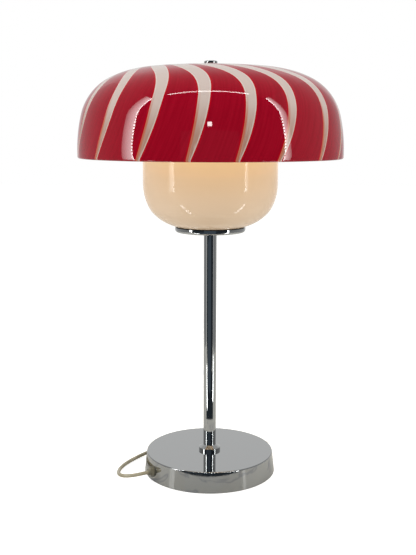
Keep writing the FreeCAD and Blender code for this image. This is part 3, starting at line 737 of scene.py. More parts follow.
class Finishes(Enum):
    """The lamp's finishes."""

    # Chromium plate over polished brass: a mirror with a cool grey of its own and hardly any haze.
    CHROME = PlatedMetal("chromium_plate_polished", "#B7B9B9", 0.03, 0.03)
    # Bright zinc on turned or stamped steel: grey, satin, with a fine grain.
    ZINC = PlatedMetal("zinc_plate_on_steel", "#A9A79F", 0.28, 0.14, grain_depth=0.01)
    # Drawn brass, unpolished: warm and half dull.
    BRASS = PlatedMetal("drawn_brass", "#B89A55", 0.22, 0.12, grain_depth=0.005)
    # Nickel plate on a bulb's cap: a warmer, softer mirror than chrome.
    NICKEL = PlatedMetal("nickel_plate", "#B5B2A8", 0.16, 0.1, grain_depth=0.004)
    # Raw grey iron: dark and rough, without a shine.
    IRON = CastIron("cast_iron_raw")
    # Black felt: soft, with no shine at all.
    FELT = NeedledFelt("wool_felt_needled")
    # Clear PVC sheath over pale strands: ivory, glossy, a little see-through.
    CORD_VINYL = MouldedPolymer(
        "clear_pvc_extruded", "#C4BCA4", "#AFA68B", 0.22, 0.6, 0.01, clearness=0.12
    )
    # Smoky PVC of the bushing: olive grey, softly glossy.
    BUSHING_VINYL = MouldedPolymer(
        "smoky_pvc_moulded", "#8C8774", "#7C7765", 0.3, 0.5, 0.015, clearness=0.05
    )
    # Vulcanised rubber: black and dull.
    RUBBER = MouldedPolymer("rubber_vulcanised", "#1B1B1B", "#121212", 0.7, 0.5, 0.03)
    # Silicone: milky grey with a skin-like sheen.
    SILICONE = MouldedPolymer("silicone_moulded", "#C9C8C2", "#BBBAB4", 0.42, 0.5, 0.01)
    # Phenolic resin: near black, glossy, faintly mottled by its filler.
    PHENOLIC = MouldedPolymer(
        "phenolic_resin_pressed", "#1E1A17", "#120F0D", 0.3, 0.9, 0.02, flow_size=3.0
    )
    # PVC insulation on the thin leads: white and slightly waxy.
    LEAD_VINYL = MouldedPolymer("pvc_insulation_extruded", "#DEDCD4", "#D3D0C6", 0.35, 0.5, 0.01)
    # PVC strap of the tie: black, softly dull.
    TIE_VINYL = MouldedPolymer("pvc_strap_extruded", "#161616", "#0E0E0E", 0.5, 0.4, 0.02)
    # Amber ABS of switch and plug: like dark honey, glossy with a fine mould grain.
    AMBER_ABS = MouldedPolymer(
        "amber_abs_moulded", "#B79B66", "#A88B57", 0.26, 0.5, 0.015, clearness=0.1
    )
    # Milk-white glass, lit from within: a warm, soft-edged glow under a gloss.
    OPAL = OpalGlass("opal_glass_blown_lit")
    # Frosted glass, lit: white, a little yellow at the cap.
    BULB = LitBulbGlass("bulb_glass_frosted_lit")
    # Red glass: deep and wet-looking.
    RED = RedCasedGlass("red_glass_cased_blown")
    # Cream glass: as glossy as the red, paler at its borders.
    CREAM = CreamStripeGlass("cream_glass_drawn")
    # White glass inside the shade: smooth and bright.
    CASING = WhiteCasing("white_casing_glass")


NODE_FINISHES: Dict[Finishes, Tuple[str, ...]] = {
    Finishes.CHROME: ("base_cover", "stem_tube", "stem_ring", "diffuser_plate", "finial_knob"),
    Finishes.ZINC: (
        "base_washer",
        "base_nut",
        "threaded_rod",
        "clamp_plate",
        "clamp_nut",
        "lamp_bracket",
        "bracket_nut",
        "holder_screws",
        "seat_plate",
        "seat_nut",
    ),
    Finishes.BRASS: ("lampholder_shell_right", "lampholder_shell_left", "plug_blades"),
    Finishes.NICKEL: ("bulb_cap_right", "bulb_cap_left"),
    Finishes.IRON: ("base_weight",),
    Finishes.FELT: ("base_pad",),
    Finishes.CORD_VINYL: ("inner_cord",),
    Finishes.BUSHING_VINYL: ("cord_bushing",),
    Finishes.RUBBER: ("diffuser_gasket",),
    Finishes.SILICONE: ("clamp_gasket", "finial_washer", "seat_ring"),
    Finishes.PHENOLIC: ("lampholder_right", "lampholder_left"),
    Finishes.LEAD_VINYL: ("holder_leads",),
    Finishes.TIE_VINYL: ("hank_tie",),
    Finishes.AMBER_ABS: ("switch_bottom", "switch_top", "switch_rocker", "plug_body"),
    Finishes.OPAL: ("diffuser_glass",),
    Finishes.BULB: ("bulb_glass_right", "bulb_glass_left"),
}


# ---------------------------------------------------------------- camera, floor and light
@dataclass
class Studio:
    """The camera, the pale floor and the open-fronted white tent in which the lamp stands."""

    TABLE_STEPS: ClassVar[int] = 24
    HIDDEN_FROM: ClassVar[Tuple[str, ...]] = (
        "camera",
        "diffuse",
        "transmission",
        "shadow",
        "volume_scatter",
    )

    # The camera.
    camera_place: Point = (-2.6, -1061.25, 426.27)
    pitch_down: float = 9.49
    roll: float = 0.16
    focal_px: float = 865.58
    frame_height_px: float = 555.0
    sensor: float = 36.0
    clip: Tuple[float, float] = (50.0, 50000.0)

    # The table top: pale polished stone with thin grey veins some 0.2 m apart.
    floor_half: float = 6000.0
    floor_colour: str = "#ECEAE2"
    floor_vein: str = "#C9C8CA"
    vein_pitch: float = 200.0
    vein_levels: Tuple[float, float, float] = (0.53, 0.56, 0.6)
    floor_lift: float = 0.78
    floor_roughness: float = 0.12
    diffuse_level: float = 0.42

    # The tent, and the front ends of its side walls.
    tent_left: float = -650.0
    tent_right: float = 600.0
    tent_back: float = 900.0
    tent_height: float = 1140.0
    front_left: float = -372.0
    front_right: float = -398.0
    left_band: float = 132.0
    right_band: float = 78.0
    band_foot: float = 235.0
    ceiling_glow: Tuple[float, float] = (0.1, 0.68)
    wall_glow: Tuple[float, float] = (0.24, 0.55)
    back_glow: float = 0.72
    band_glow: Tuple[float, float] = (10.0, 2.2)
    foot_glow: Tuple[float, float] = (1.1, 0.75)

    # The dark room in front of it, with two dusky panels by their left, right and top edges.
    dark_colour: str = "#CBE3FA"
    dark_glow: float = 0.045
    dusk_glow: float = 0.13
    dusk_inset: float = 60.0
    dusk_panels: Tuple[Tuple[str, float, float, float], ...] = (
        ("dusk_middle", -115.0, 105.0, 480.0),
        ("dusk_left", -270.0, -115.0, 250.0),
    )

    # The table's dark front part.
    table_radius: float = 205.0
    table_reach: float = 470.0
    table_dark_half_angle: float = 62.0
    table_dark_height: float = 0.5

    # The rows of small lights up both front edges and, in a zigzag, along the ceiling's.
    led_glow: float = 30.0
    led_pitch: float = 23.0
    led_size: float = 13.0
    led_inset: float = 9.0
    led_aim: Point = (0.0, -130.0, 430.0)
    card_gap: float = 4.0
    bar_ends: Tuple[float, float] = (-400.0, 355.0)
    bar_pitch: float = 14.0
    bar_step: float = 7.0
    bar_inset: float = 6.0

    # The one small lamp in the dark room.
    spot_place: Point = (-4.0, -362.0, 510.0)
    spot_half: float = 8.5
    spot_glow: float = 21.0

    # The bright lines on the table: the near and far end of each.
    glint_ends: Tuple[Tuple[Tuple[float, float], Tuple[float, float]], ...] = (
        ((-176.0, -193.0), (-420.0, -300.0)),
        ((242.0, -172.0), (520.0, -250.0)),
    )
    glint_glow: float = 12.0
    glint_width: float = 30.0
    glint_height: float = 2.0

    # The soft lamps, by name, place, power in watts and width, and what they aim at.
    lamps: Tuple[Tuple[str, Point, float, float], ...] = (
        ("lamp_left", (-900.0, -500.0, 800.0), 6.0, 900.0),
        ("lamp_right", (900.0, -500.0, 800.0), 5.4, 900.0),
        ("lamp_top", (0.0, 100.0, 1500.0), 6.6, 1200.0),
    )
    lamp_aim: Point = (0.0, 0.0, 300.0)

    def build(self) -> None:
        """Build the camera, the floor, the world and the lights."""
        self.add_camera()
        self.add_floor()
        self.add_world()
        self.add_tent()
        self.add_dark_front()
        self.add_leds()
        self.add_spot()
        self.add_glints()
        self.add_lamps()

    def add_camera(self) -> None:
        """Add the camera where the photograph's perspective puts it."""
        data = bpy.data.cameras.new("camera")
        data.sensor_width = self.sensor
        data.lens = self.focal_px / self.frame_height_px * self.sensor
        data.clip_start, data.clip_end = (distance * MM for distance in self.clip)
        camera = bpy.data.objects.new("camera", data)
        camera.location = metres(self.camera_place)
        aim = Euler((math.radians(90 - self.pitch_down), 0.0, 0.0)).to_matrix()
        camera.rotation_euler = (aim @ Matrix.Rotation(math.radians(self.roll), 3, "Z")).to_euler()
        bpy.context.scene.collection.objects.link(camera)
        bpy.context.scene.camera = camera

    def add_floor(self) -> None:
        """Add the floor: a pale polished table top, which the camera sees as white with its shadow."""
        half = self.floor_half
        corners = [(-half, -half, 0), (half, -half, 0), (half, half, 0), (-half, half, 0)]
        floor = add_mesh("floor", corners, [(0, 1, 2, 3)])
        surface = bpy.data.materials.new("pale_stone_table_top")
        surface.use_nodes = True
        tree = surface.node_tree
        tree.nodes.clear()
        place = node(tree, "ShaderNodeTexCoord").outputs["Object"]
        veins = node(
            tree,
            "ShaderNodeTexNoise",
            {"Scale": scale(self.vein_pitch), "Detail": 3.0, "Distortion": 1.5},
            {"Vector": place},
        )
        colours = (self.floor_colour, self.floor_vein, self.floor_colour)
        tone = node(
            tree,
            "ShaderNodeValToRGB",
            {"stops": list(zip(self.vein_levels, colours))},
            {"Fac": veins.outputs["Fac"]},
        )
        matt = node(tree, "ShaderNodeBsdfDiffuse", links={"Color": tone.outputs["Color"]})
        polish = node(tree, "ShaderNodeBsdfGlossy", {"Roughness": self.floor_roughness})
        share = node(tree, "ShaderNodeFresnel", {"IOR": 1.45})
        stone = node(
            tree,
            "ShaderNodeMixShader",
            links={0: share.outputs[0], 1: matt.outputs[0], 2: polish.outputs[0]},
        )
        lift = node(
            tree, "ShaderNodeEmission", {"Color": (1.0, 1.0, 1.0, 1.0), "Strength": self.floor_lift}
        )
        lifted = node(tree, "ShaderNodeAddShader", links={0: matt.outputs[0], 1: lift.outputs[0]})
        path = node(tree, "ShaderNodeLightPath")
        picked = node(
            tree,
            "ShaderNodeMixShader",
            links={0: path.outputs["Is Camera Ray"], 1: stone.outputs[0], 2: lifted.outputs[0]},
        )
        node(tree, "ShaderNodeOutputMaterial", links={"Surface": picked.outputs[0]})
        floor.data.materials.append(surface)

    def add_world(self) -> None:
        """Light the object evenly, with a white backdrop for the camera, mirrors and glass."""
        world = bpy.data.worlds.new("white_backdrop")
        bpy.context.scene.world = world
        world.use_nodes = True
        tree = world.node_tree
        tree.nodes.clear()
        path = node(tree, "ShaderNodeLightPath")
        seen = path.outputs["Is Camera Ray"]
        for ray in ("Is Glossy Ray", "Is Transmission Ray"):
            seen = node(
                tree, "ShaderNodeMath", {"operation": "MAXIMUM"}, {0: seen, 1: path.outputs[ray]}
            ).outputs[0]
        strength = node(
            tree, "ShaderNodeMix", {"data_type": "FLOAT", 2: self.diffuse_level, 3: 1.0}, {0: seen}
        )
        sky = node(
            tree,
            "ShaderNodeBackground",
            {"Color": (1.0, 1.0, 1.0, 1.0)},
            {"Strength": strength.outputs[0]},
        )
        node(tree, "ShaderNodeOutputWorld", links={"Surface": sky.outputs[0]})

    def add_card(
        self,
        name: str,
        corners: Sequence[Point],
        glow: float,
        fade: Optional[Tuple[float, float, float]] = None,
        colour: str = "#FFFFFF",
    ) -> None:
        """Add a card that only reflections see.

        Args:
            name: The card's name.
            corners: Its four corners, or those of several quads in a row.
            glow: Its brightness.
            fade: Where its fade along Y starts and ends, in millimetres, and the brightness there.
            colour: Its colour.
        """
        quads = [tuple(range(i, i + 4)) for i in range(0, len(corners), 4)]
        card = add_mesh(name, corners, quads, smooth=False)
        surface = bpy.data.materials.new(name)
        surface.use_nodes = True
        tree = surface.node_tree
        tree.nodes.clear()
        light = node(tree, "ShaderNodeEmission", {"Color": linear(colour), "Strength": glow})
        if fade:
            place = node(tree, "ShaderNodeTexCoord").outputs["Object"]
            along = node(tree, "ShaderNodeSeparateXYZ", links={0: place}).outputs["Y"]
            levels = node(
                tree,
                "ShaderNodeMapRange",
                {"From Min": fade[0] * MM, "From Max": fade[1] * MM, "To Min": glow, "To Max": fade[2]},
                {"Value": along},
            )
            tree.links.new(levels.outputs["Result"], light.inputs["Strength"])
        node(tree, "ShaderNodeOutputMaterial", links={"Surface": light.outputs[0]})
        card.data.materials.append(surface)
        for sight in self.HIDDEN_FROM:
            setattr(card, f"visible_{sight}", False)

    def add_tent(self) -> None:
        """Add the white tent: its ceiling and back, and its side walls with bright front bands."""
        left, right, back, top = self.tent_left, self.tent_right, self.tent_back, self.tent_height
        front = min(self.front_left, self.front_right)
        near, far = self.ceiling_glow
        ceiling = [(left, front, top), (right, front, top), (right, back, top), (left, back, top)]
        self.add_card("tent_ceiling", ceiling, near, (front, back, far))
        rear = [(left, back, 0.0), (right, back, 0.0), (right, back, top), (left, back, top)]
        self.add_card("tent_back", rear, self.back_glow)
        for side, x, y, width in (
            ("left", left, self.front_left, self.left_band),
            ("right", right, self.front_right, self.right_band),
        ):
            for name, low, high, (inner, outer) in (
                ("band_foot", 0.0, self.band_foot, self.foot_glow),
                ("band", self.band_foot, top, self.band_glow),
            ):
                start, end = y + self.led_size, y + width
                band = [(x, start, low), (x, end, low), (x, end, high), (x, start, high)]
                self.add_card(f"{side}_{name}", band, inner, (start, end, outer))
            near, far = self.wall_glow
            wall = [(x, y + width, 0.0), (x, back, 0.0), (x, back, top), (x, y + width, top)]
            self.add_card(f"{side}_wall", wall, near, (y + width, back, far))

    def add_dark_front(self) -> None:
        """Add the dark room beyond the tent's open front, and the table's dark front part."""
        left, right, top = self.tent_left, self.tent_right, self.tent_height
        room = [
            (left, self.front_left, 0.0),
            (right, self.front_right, 0.0),
            (right, self.front_right, top),
            (left, self.front_left, top),
        ]
        self.add_card("dark_room", room, self.dark_glow, colour=self.dark_colour)
        near, far = self.table_radius, self.table_reach
        sector: List[Point] = []
        for step in range(self.TABLE_STEPS):
            for turn, reach in ((0, near), (1, near), (1, far), (0, far)):
                part = (step + turn) / self.TABLE_STEPS * 2 - 1
                x, y, _ = level(-90 + part * self.table_dark_half_angle) * reach
                sector.append((x, y, self.table_dark_height))
        self.add_card("dark_table_edge", sector, self.dark_glow, colour=self.dark_colour)
        y = self.front_right + self.dusk_inset
        for name, start, end, height in self.dusk_panels:
            panel = [(start, y, 0.0), (end, y, 0.0), (end, y, height), (start, y, height)]
            self.add_card(name, panel, self.dusk_glow, colour=self.dark_colour)

    def add_leds(self) -> None:
        """Add the rows of small lights along the open front's edges."""
        places: List[Point] = []
        height = self.band_foot
        while height < self.tent_height:
            for x, y in (
                (self.tent_left + self.card_gap, self.front_left),
                (self.tent_right - self.card_gap, self.front_right),
            ):
                places.append((x, y + self.led_inset, height))
            height += self.led_pitch
        across, end = self.bar_ends
        step = self.bar_step
        while across < end:
            y = self.front_left + self.bar_inset + step
            places.append((across, y, self.tent_height - self.card_gap))
            across += self.bar_pitch
            step = -step
        corners: List[Point] = []
        for place in places:
            middle = Vector(place)
            out = (Vector(self.led_aim) - middle).normalized()
            side = out.cross(Vector((0.0, 0.0, 1.0))).normalized() * self.led_size / 2
            up = side.cross(out).normalized() * self.led_size / 2
            for a, b in ((-1, -1), (1, -1), (1, 1), (-1, 1)):
                corners.append(tuple(middle + side * a + up * b))
        self.add_card("led_rows", corners, self.led_glow)

    def add_spot(self) -> None:
        """Add the one small lamp in the dark room."""
        x, y, z = self.spot_place
        half = self.spot_half
        corners = [(x + half * a, y, z + half * b) for a, b in ((-1, -1), (1, -1), (1, 1), (-1, 1))]
        self.add_card("front_lamp", corners, self.spot_glow)

    def add_glints(self) -> None:
        """Add the bright lines that lie on the table on both sides."""
        corners: List[Point] = []
        z = self.glint_height
        for near, far in self.glint_ends:
            corners += [(*near, z), (*far, z)]
            corners += [(x, y + self.glint_width, z) for x, y in (far, near)]
        self.add_card("table_edge_glints", corners, self.glint_glow)

    def add_lamps(self) -> None:
        """Add the soft lamps that light the object from both sides and above."""
        for name, place, power, width in self.lamps:
            data = bpy.data.lights.new(name, "AREA")
            data.energy = power
            data.size = width * MM
            lamp = bpy.data.objects.new(name, data)
            lamp.location = metres(place)
            aim = metres(self.lamp_aim) - lamp.location
            lamp.rotation_euler = aim.to_track_quat("-Z", "Y").to_euler()
            lamp.visible_camera = False
            lamp.visible_glossy = False
            bpy.context.scene.collection.objects.link(lamp)


# ---------------------------------------------------------------- cord
@dataclass
class Cord:
    """The lamp's cord: out of the base, through its switch, wound in a hank and ending in its plug."""

    ALONG_STEPS: ClassVar[int] = 6
    ROUND_STEPS: ClassVar[int] = 5
    TURN_POINTS: ClassVar[int] = 4
    END_POINTS: ClassVar[int] = 2
    # Where a run's points stand along it, and how far each is drawn in towards the tie.
    RUN_POINTS: ClassVar[Tuple[Tuple[float, float], ...]] = (
        (0.09, 0.0),
        (0.41, 1.0),
        (0.59, 1.0),
        (0.91, 0.0),
    )

    diameter: float = 4.5
    exit_turn: float = 210.0
    exit_reach: float = 87.87
    exit_height: float = 11.5
    route: Tuple[Point, ...] = (
        (-85.0, -49.1, 11.2),
        (-97.6, -50.4, 9.4),
        (-109.0, -43.5, 6.6),
        (-115.0, -29.5, 4.0),
        (-114.6, -8.0, 2.6),
        (-106.0, 14.0, 2.4),
        (-93.5, 31.0, 3.4),
        (-80.3, 44.0, 4.95),
    )
    switch_centre: Point = (-63.1, 73.8, 5.0)
    switch_heading: float = 60.0
    switch_length: float = 46.0
    hank_centre: Tuple[float, float] = (3.8, 100.2)
    hank_run: float = 62.0
    hank_outer_r: float = 17.35
    hank_step: float = 5.3
    hank_layer: float = 4.95
    hank_low: float = 3.0
    hank_waist: float = 4.5
    entry_turn: float = 65.0
    exit_bend: float = 64.0
    lower_bends: int = 4
    upper_bends: int = 2
    tail_length: float = 14.0
    tail_high: float = 6.0
    tail_end: float = 2.5
    plug_height: float = 5.5
    length: float = 956.0
    points: List[Vector] = field(default_factory=list)

    def exit_point(self) -> Vector:
        """Return the place where the cord leaves its bushing."""
        return level(self.exit_turn) * self.exit_reach + Vector((0.0, 0.0, self.exit_height))

    def bend(self, centre: Vector, radius: float, start: float, turn: float, parts: int) -> None:
        """Add the points of a clockwise bend, which stand just outside it so that the spline touches it.

        Args:
            centre: The bend's centre.
            radius: The radius of the cord's middle.
            start: The heading at which the bend starts, in degrees.
            turn: How far it turns, in degrees.
            parts: How many points it has.
        """
        step = turn / parts
        reach = radius / math.cos(math.radians(step / 2))
        for part in range(parts):
            self.points.append(centre + level(start - step * (part + 0.5)) * reach)

    def run(self, start: Vector, side: int, climb: float = 0.0) -> Vector:
        """Add the points of a run that draws in at the tie.

        Args:
            start: Where the run starts.
            side: 1 for a run towards +X, or -1.
            climb: How far it climbs on its way.

        Returns:
            Where the run ends.
        """
        bow = -side * self.hank_waist
        for share, drawn in self.RUN_POINTS:
            along = side * self.hank_run * share
            self.points.append(start + Vector((along, bow * drawn, climb * share)))
        return start + Vector((side * self.hank_run, 0.0, climb))

    def turn(self, start: Vector, radius: float, side: int) -> Vector:
        """Add the points of a half turn at an end of the hank.

        Args:
            start: Where the half turn starts.
            radius: The radius of the cord's middle.
            side: 1 after a run towards +X, or -1.

        Returns:
            Where it ends.
        """
        out = Vector((0.0, side * radius, 0.0))
        self.bend(start - out, radius, 90.0 * side, 180.0, self.TURN_POINTS)
        return start - 2 * out

    def wind(self) -> Vector:
        """Add the hank's turns.

        Returns:
            The heading in which the cord leaves the hank, after its last point.
        """
        half = self.hank_run / 2
        left_x = self.hank_centre[0] - half
        far_y = self.hank_centre[1] + self.hank_outer_r
        entry_r = self.hank_outer_r + self.hank_step / 2
        centre = Vector((left_x, far_y - entry_r, self.hank_low))
        self.bend(centre, entry_r, 90.0 + self.entry_turn, self.entry_turn, self.END_POINTS)
        at = Vector((left_x, far_y, self.hank_low))
        radius = self.hank_outer_r
        side = 1
        for _ in range(self.lower_bends):
            at = self.turn(self.run(at, side), radius, side)
            radius -= self.hank_step / 2
            side = -side
        at = self.run(at, side, self.hank_layer)
        radius += self.hank_step
        for _ in range(self.upper_bends):
            at = self.turn(at, radius, side)
            radius += self.hank_step / 2
            side = -side
            at = self.run(at, side)
        centre = at - Vector((0.0, side * radius, 0.0))
        self.bend(centre, radius, 90.0 * side, self.exit_bend, self.END_POINTS)
        leaves = 90.0 * side - self.exit_bend
        self.points.append(centre + level(leaves) * radius)
        return level(leaves - 90.0)

    def build(self) -> bpy.types.Object:
        """Returns:
            The cord.
        """
        axis = level(self.switch_heading)
        middle = Vector(self.switch_centre)
        rear = middle - axis * (self.switch_length / 2)
        front = middle + axis * (self.switch_length / 2)
        self.points = [self.exit_point()] + [Vector(p) for p in self.route]
        self.points += [rear, middle, front, front + axis * self.diameter]
        away = self.wind()
        last = self.points.pop()
        plug = last + away * self.tail_length
        plug.z = self.plug_height
        self.points += [last + away * self.tail_high, plug - away * self.tail_end, plug]
        data = bpy.data.curves.new("cord", "CURVE")
        data.dimensions = "3D"
        data.resolution_u = self.ALONG_STEPS
        data.bevel_depth = self.diameter / 2 * MM
        data.bevel_resolution = self.ROUND_STEPS
        data.use_fill_caps = True
        spline = data.splines.new("NURBS")
        spline.points.add(len(self.points) - 1)
        for place, point in zip(spline.points, self.points):
            place.co = (*metres(point), 1.0)
        spline.order_u = 3
        spline.use_endpoint_u = True
        cord = bpy.data.objects.new("cord", data)
        bpy.context.scene.collection.objects.link(cord)
        data.materials.append(Finishes.CORD_VINYL.value.material())
        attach(cord, "lamp")
        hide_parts("cord_lead", "cord_link", "cord_hank", "cord_tail")
        return cord


# ---------------------------------------------------------------- shade
@dataclass(frozen=True)
class Meridian:
    """The shade's outline from its crown to its rim, a chain of tangent arcs."""

    crown: float = 505.8
    radii: Tuple[float, ...] = (820.0, 116.0, 65.0, 190.0)
    slopes: Tuple[float, ...] = (5.6, 26.8, 76.7, 91.6)

    def length(self) -> float:
        """Measure the outline from crown to rim.

        Returns:
            Its length.
        """
        total = 0.0
        before = 0.0
        for radius, slope in zip(self.radii, self.slopes):
            total += radius * math.radians(slope - before)
            before = slope
        return total

    def at(self, distance: float) -> Tuple[float, float, float]:
        """Find a point on the outline.

        Args:
            distance: How far it is from the crown, along the outline.

        Returns:
            Its radius, its height and the slope there in radians.
        """
        across, height, before = 0.0, self.crown, 0.0
        for radius, slope in zip(self.radii, self.slopes):
            end = math.radians(slope)
            share = min(before + distance / radius, end)
            across += radius * (math.sin(share) - math.sin(before))
            height -= radius * (math.cos(before) - math.cos(share))
            if share < end or slope == self.slopes[-1]:
                return across, height, share
            distance -= radius * (end - before)
            before = end
        return across, height, before


@dataclass
class ShadeStripes:
    """The striped shade: red glass with drawn stripes that swirl from the crown and taper to the rim."""

    ACROSS: ClassVar[str] = "across_mm"
    ALONG: ClassVar[str] = "along_mm"
    # How much shorter a pattern is drawn along the stripes, and how far each stripe's own is moved.
    DRAW_OUT: ClassVar[float] = 0.04
    PATTERN_SHIFT: ClassVar[float] = 13.7

    meridian: Meridian = field(default_factory=Meridian)
    wall: float = 4.0
    hole_r: float = 7.0
    # The mesh's rows: each step's length, up to each distance from the crown.
    row_steps: Tuple[Tuple[float, float], ...] = ((20.0, 1.0), (60.0, 2.0), (math.inf, 2.8))
    last_row_gap: float = 2.0
    lip_rows: int = 6
    stripe_columns: int = 3
    gap_columns: int = 7

    # The stripes' headings at the front in degrees, then each one's share of the width and end turn.
    front_stripes: Tuple[float, ...] = (-65.9, -44.2, -21.8, -2.65, 16.4, 35.05, 55.75)
    stripe_count: int = 18
    width_shares: Tuple[float, ...] = (0.92, 1.0, 1.03, 1.05, 0.98, 0.95, 1.1)
    end_turns: Tuple[float, ...] = (-3.0, -0.9, 0.2, 1.6, 1.1, -0.7, 0.4)

    # The swirl, by distance from the crown: a spiral, then a bend to upright, then a bend back.
    spiral_end: float = 100.0
    spiral_turn: float = 56.3
    upright_at: float = 155.0
    upper_bend: Tuple[float, float] = (0.00211, 2.2)
    lower_bend: Tuple[float, float] = (0.00365, 1.767)

    # The width: a share of the distance near the crown, then narrowing, then tapering to the rim.
    crown_share: float = 0.205
    taper_start: float = 160.0
    taper_length: float = 70.7
    taper_power: float = 1.8
    rim_width: float = 4.6
    waist_width: float = 12.0
    shoulder_gain: float = 8.5
    shoulder_power: float = 1.3
    widest_half_turn: float = 7.5

    def centres(self) -> List[float]:
        """Place the stripes: the front ones as they are seen, the hidden ones evenly between them.

        Returns:
            Their headings in degrees, from the front and growing to the right.
        """
        first, last = self.front_stripes[0], self.front_stripes[-1]
        hidden = self.stripe_count - len(self.front_stripes)
        step = (360.0 + first - last) / (hidden + 1)
        return list(self.front_stripes) + [last + step * (i + 1) for i in range(hidden)]

    def lean(self, distance: float) -> float:
        """Work out how far a stripe has turned.

        Args:
            distance: The distance from the crown.

        Returns:
            The turn in degrees.
        """
        if distance > self.upright_at:
            size, power = self.lower_bend
            return -size * (distance - self.upright_at) ** power
        size, power = self.upper_bend
        bent = -size * (self.upright_at - max(distance, self.spiral_end)) ** power
        if distance > self.spiral_end:
            return bent
        return bent - self.spiral_turn * math.log(self.spiral_end / distance)

    def width(self, distance: float) -> float:
        """Work out a stripe's width.

        Args:
            distance: The distance from the crown.

        Returns:
            The width.
        """
        if distance >= self.taper_start:
            gone = min((distance - self.taper_start) / self.taper_length, 1.0)
            drop = self.waist_width - self.rim_width
            return self.rim_width + drop * (1 - gone ** self.taper_power)
        if distance > self.spiral_end:
            left = (self.taper_start - distance) / (self.taper_start - self.spiral_end)
            return self.waist_width + self.shoulder_gain * left ** self.shoulder_power
        return self.crown_share * distance

    @staticmethod
    def drawn_out(tree: Tree, across: Socket) -> Socket:
        """Return a place on the glass whose patterns run long along the stripes.

        Args:
            tree: The material's node tree.
            across: The distances from both neighbouring stripe edges, in millimetres.

        Returns:
            The distance across in millimetres, and the shortened distance along.
        """
        along = node(tree, "ShaderNodeUVMap", {"uv_map": ShadeStripes.ALONG}).outputs["UV"]
        aside = node(tree, "ShaderNodeSeparateXYZ", links={0: across})
        length = node(tree, "ShaderNodeSeparateXYZ", links={0: along})
        drawn = node(
            tree,
            "ShaderNodeMath",
            {"operation": "MULTIPLY_ADD", 1: ShadeStripes.DRAW_OUT},
            {0: length.outputs["X"], 2: length.outputs["Y"]},
        )
        return node(
            tree, "ShaderNodeCombineXYZ", links={"X": aside.outputs["X"], "Y": drawn.outputs[0]}
        ).outputs["Vector"]

    def rows(self) -> List[Tuple[float, float]]:
        """Place the mesh's rows, from the crown out, round the rim and back inside.

        Returns:
            Each row's distance from the crown, and its depth in the wall from 0 outside to 1 inside.
        """
        total = self.meridian.length()
        outside = [self.hole_r]
        while outside[-1] < total - self.last_row_gap:
            step = next(step for end, step in self.row_steps if outside[-1] < end)
            outside.append(outside[-1] + step)
        outside[-1] = total
        rows = [(s, 0.0) for s in outside]
        rows += [(total, i / self.lip_rows) for i in range(1, self.lip_rows)]
        return rows + [(s, 1.0) for s in reversed(outside)]

    def columns(self, distance: float) -> List[Tuple[float, bool, int, float, float]]:
        """Work out a row's columns.

        Args:
            distance: The row's distance from the crown.

        Returns:
            For each column its heading in degrees, whether a stripe starts there, the stripe's number,
            and how far it is from the edges on its left and right, in millimetres.
        """
        radius = max(self.meridian.at(distance)[0], 1.0)
        degree = math.radians(1) * radius
        edges = []
        for number, centre in enumerate(self.centres()):
            share = self.width_shares[number % len(self.width_shares)]
            half = min(self.width(distance) * share / 2 / degree, self.widest_half_turn)
            ending = max(distance - self.taper_start, 0.0) / self.taper_length
            end_turn = self.end_turns[number % len(self.end_turns)] * ending ** 2
            middle = centre + self.lean(distance) + end_turn
            edges.append((middle - half, middle + half))
        columns = []
        for number, (left, right) in enumerate(edges):
            last = number == len(edges) - 1
            following = edges[0][0] + 360.0 if last else edges[number + 1][0]
            for start, end, count, stripe in (
                (left, right, self.stripe_columns, True),
                (right, following, self.gap_columns, False),
            ):
                for i in range(count):
                    aside = (end - start) * i / count
                    left_mm, right_mm = aside * degree, (end - start - aside) * degree
                    columns.append((start + aside, stripe, number, left_mm, right_mm))
        return columns

    def wall_place(self, distance: float, depth: float) -> Tuple[float, float]:
        """Find a row's place in the wall; between the two faces it goes round the rim's half-round lip.

        Args:
            distance: The distance from the crown, on the outside.
            depth: The depth, from 0 outside to 1 inside.

        Returns:
            Its radius and its height.
        """
        across, height, slope = self.meridian.at(distance)
        lip = math.sin(math.pi * depth) * self.wall / 2
        round_lip = 0 < depth < 1
        inward = self.wall / 2 * (1 - math.cos(math.pi * depth)) if round_lip else self.wall * depth
        across += -inward * math.sin(slope) + lip * math.cos(slope)
        height += -inward * math.cos(slope) - lip * math.sin(slope)
        return (self.hole_r if distance == self.hole_r else across), height

    def build(self) -> bpy.types.Object:
        """Build the shade and dress it.

        Returns:
            The shade.
        """
        points: List[Point] = []
        rows = self.rows()
        grid = []
        for distance, depth in rows:
            across, height = self.wall_place(distance, depth)
            columns = self.columns(distance)
            grid.append(columns)
            for heading, *_ in columns:
                angle = math.radians(heading)
                points.append((across * math.sin(angle), -across * math.cos(angle), height))
        count = len(grid[0])
        faces = []
        corners_across: List[Tuple[float, float]] = []
        corners_along: List[Tuple[float, float]] = []
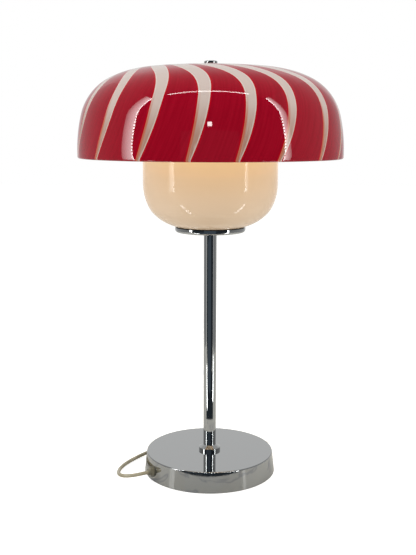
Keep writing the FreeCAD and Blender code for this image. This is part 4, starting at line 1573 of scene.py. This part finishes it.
        # A face's material is 0 for red glass, 1 for a stripe, and 2 for the casing, which starts at the
        # lip's middle and ends round the crown's hole.
        materials = []
        for row in range(len(rows)):
            below = (row + 1) % len(rows)
            for column in range(count):
                right = (column + 1) % count
                corners = ((row, column), (below, column), (below, right), (row, right))
                faces.append(tuple(line * count + place for line, place in corners))
                _, stripe, number, _, _ = grid[row][column]
                inside = rows[row][1] >= 0.5 or row == len(rows) - 1
                materials.append(2 if inside else int(stripe))
                for line, place in corners:
                    _, _, _, left_mm, right_mm = grid[line][column]
                    if place == right:
                        _, goes_on, _, next_left, next_right = grid[line][right]
                        if goes_on == stripe and next_left > left_mm:
                            left_mm, right_mm = next_left, next_right
                        else:
                            left_mm, right_mm = left_mm + right_mm, 0.0
                    corners_across.append((left_mm, right_mm))
                    corners_along.append((rows[line][0], number * self.PATTERN_SHIFT))
        shade = add_mesh("striped_shade", points, faces)
        for name, values in ((self.ACROSS, corners_across), (self.ALONG, corners_along)):
            layer = shade.data.uv_layers.new(name=name)
            layer.data.foreach_set("uv", [value for pair in values for value in pair])
        for finish in (Finishes.RED, Finishes.CREAM, Finishes.CASING):
            shade.data.materials.append(finish.value.material())
        shade.data.polygons.foreach_set("material_index", materials)
        shade.data.update()
        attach(shade, "shade")
        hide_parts("shade_glass")
        return shade


# ---------------------------------------------------------------- the rest of the lamp
@dataclass
class CarriedPieces:
    """The CAD solids whose own shape is right, which only get their finish."""

    finishes: Dict[Finishes, Tuple[str, ...]] = field(default_factory=lambda: dict(NODE_FINISHES))

    def dress(self, frame: Dict[str, Any]) -> None:
        """Give each solid its finish.

        Args:
            frame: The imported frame.
        """
        for finish, names in self.finishes.items():
            for name in names:
                piece = frame["nodes"][name]
                for holder in piece.material_slots:
                    holder.material = finish.value.material()
            log.info("%s: %s", finish.value.name, ", ".join(names))


def main() -> None:
    """Build the lamp's looks piece by piece."""
    logging.basicConfig(level=logging.INFO, format="%(name)s: %(message)s")
    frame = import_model()
    Studio().build()
    log.info("studio")
    cord_maker = Cord()
    cord = cord_maker.build()
    log.info("cord: %d points", len(cord_maker.points))
    shade = ShadeStripes().build()
    log.info("shade: %d faces", len(shade.data.polygons))
    CarriedPieces().dress(frame)
    bpy.context.view_layer.update()
    bpy.context.scene.view_settings.view_transform = "Standard"


if __name__ == "__main__":
    main()
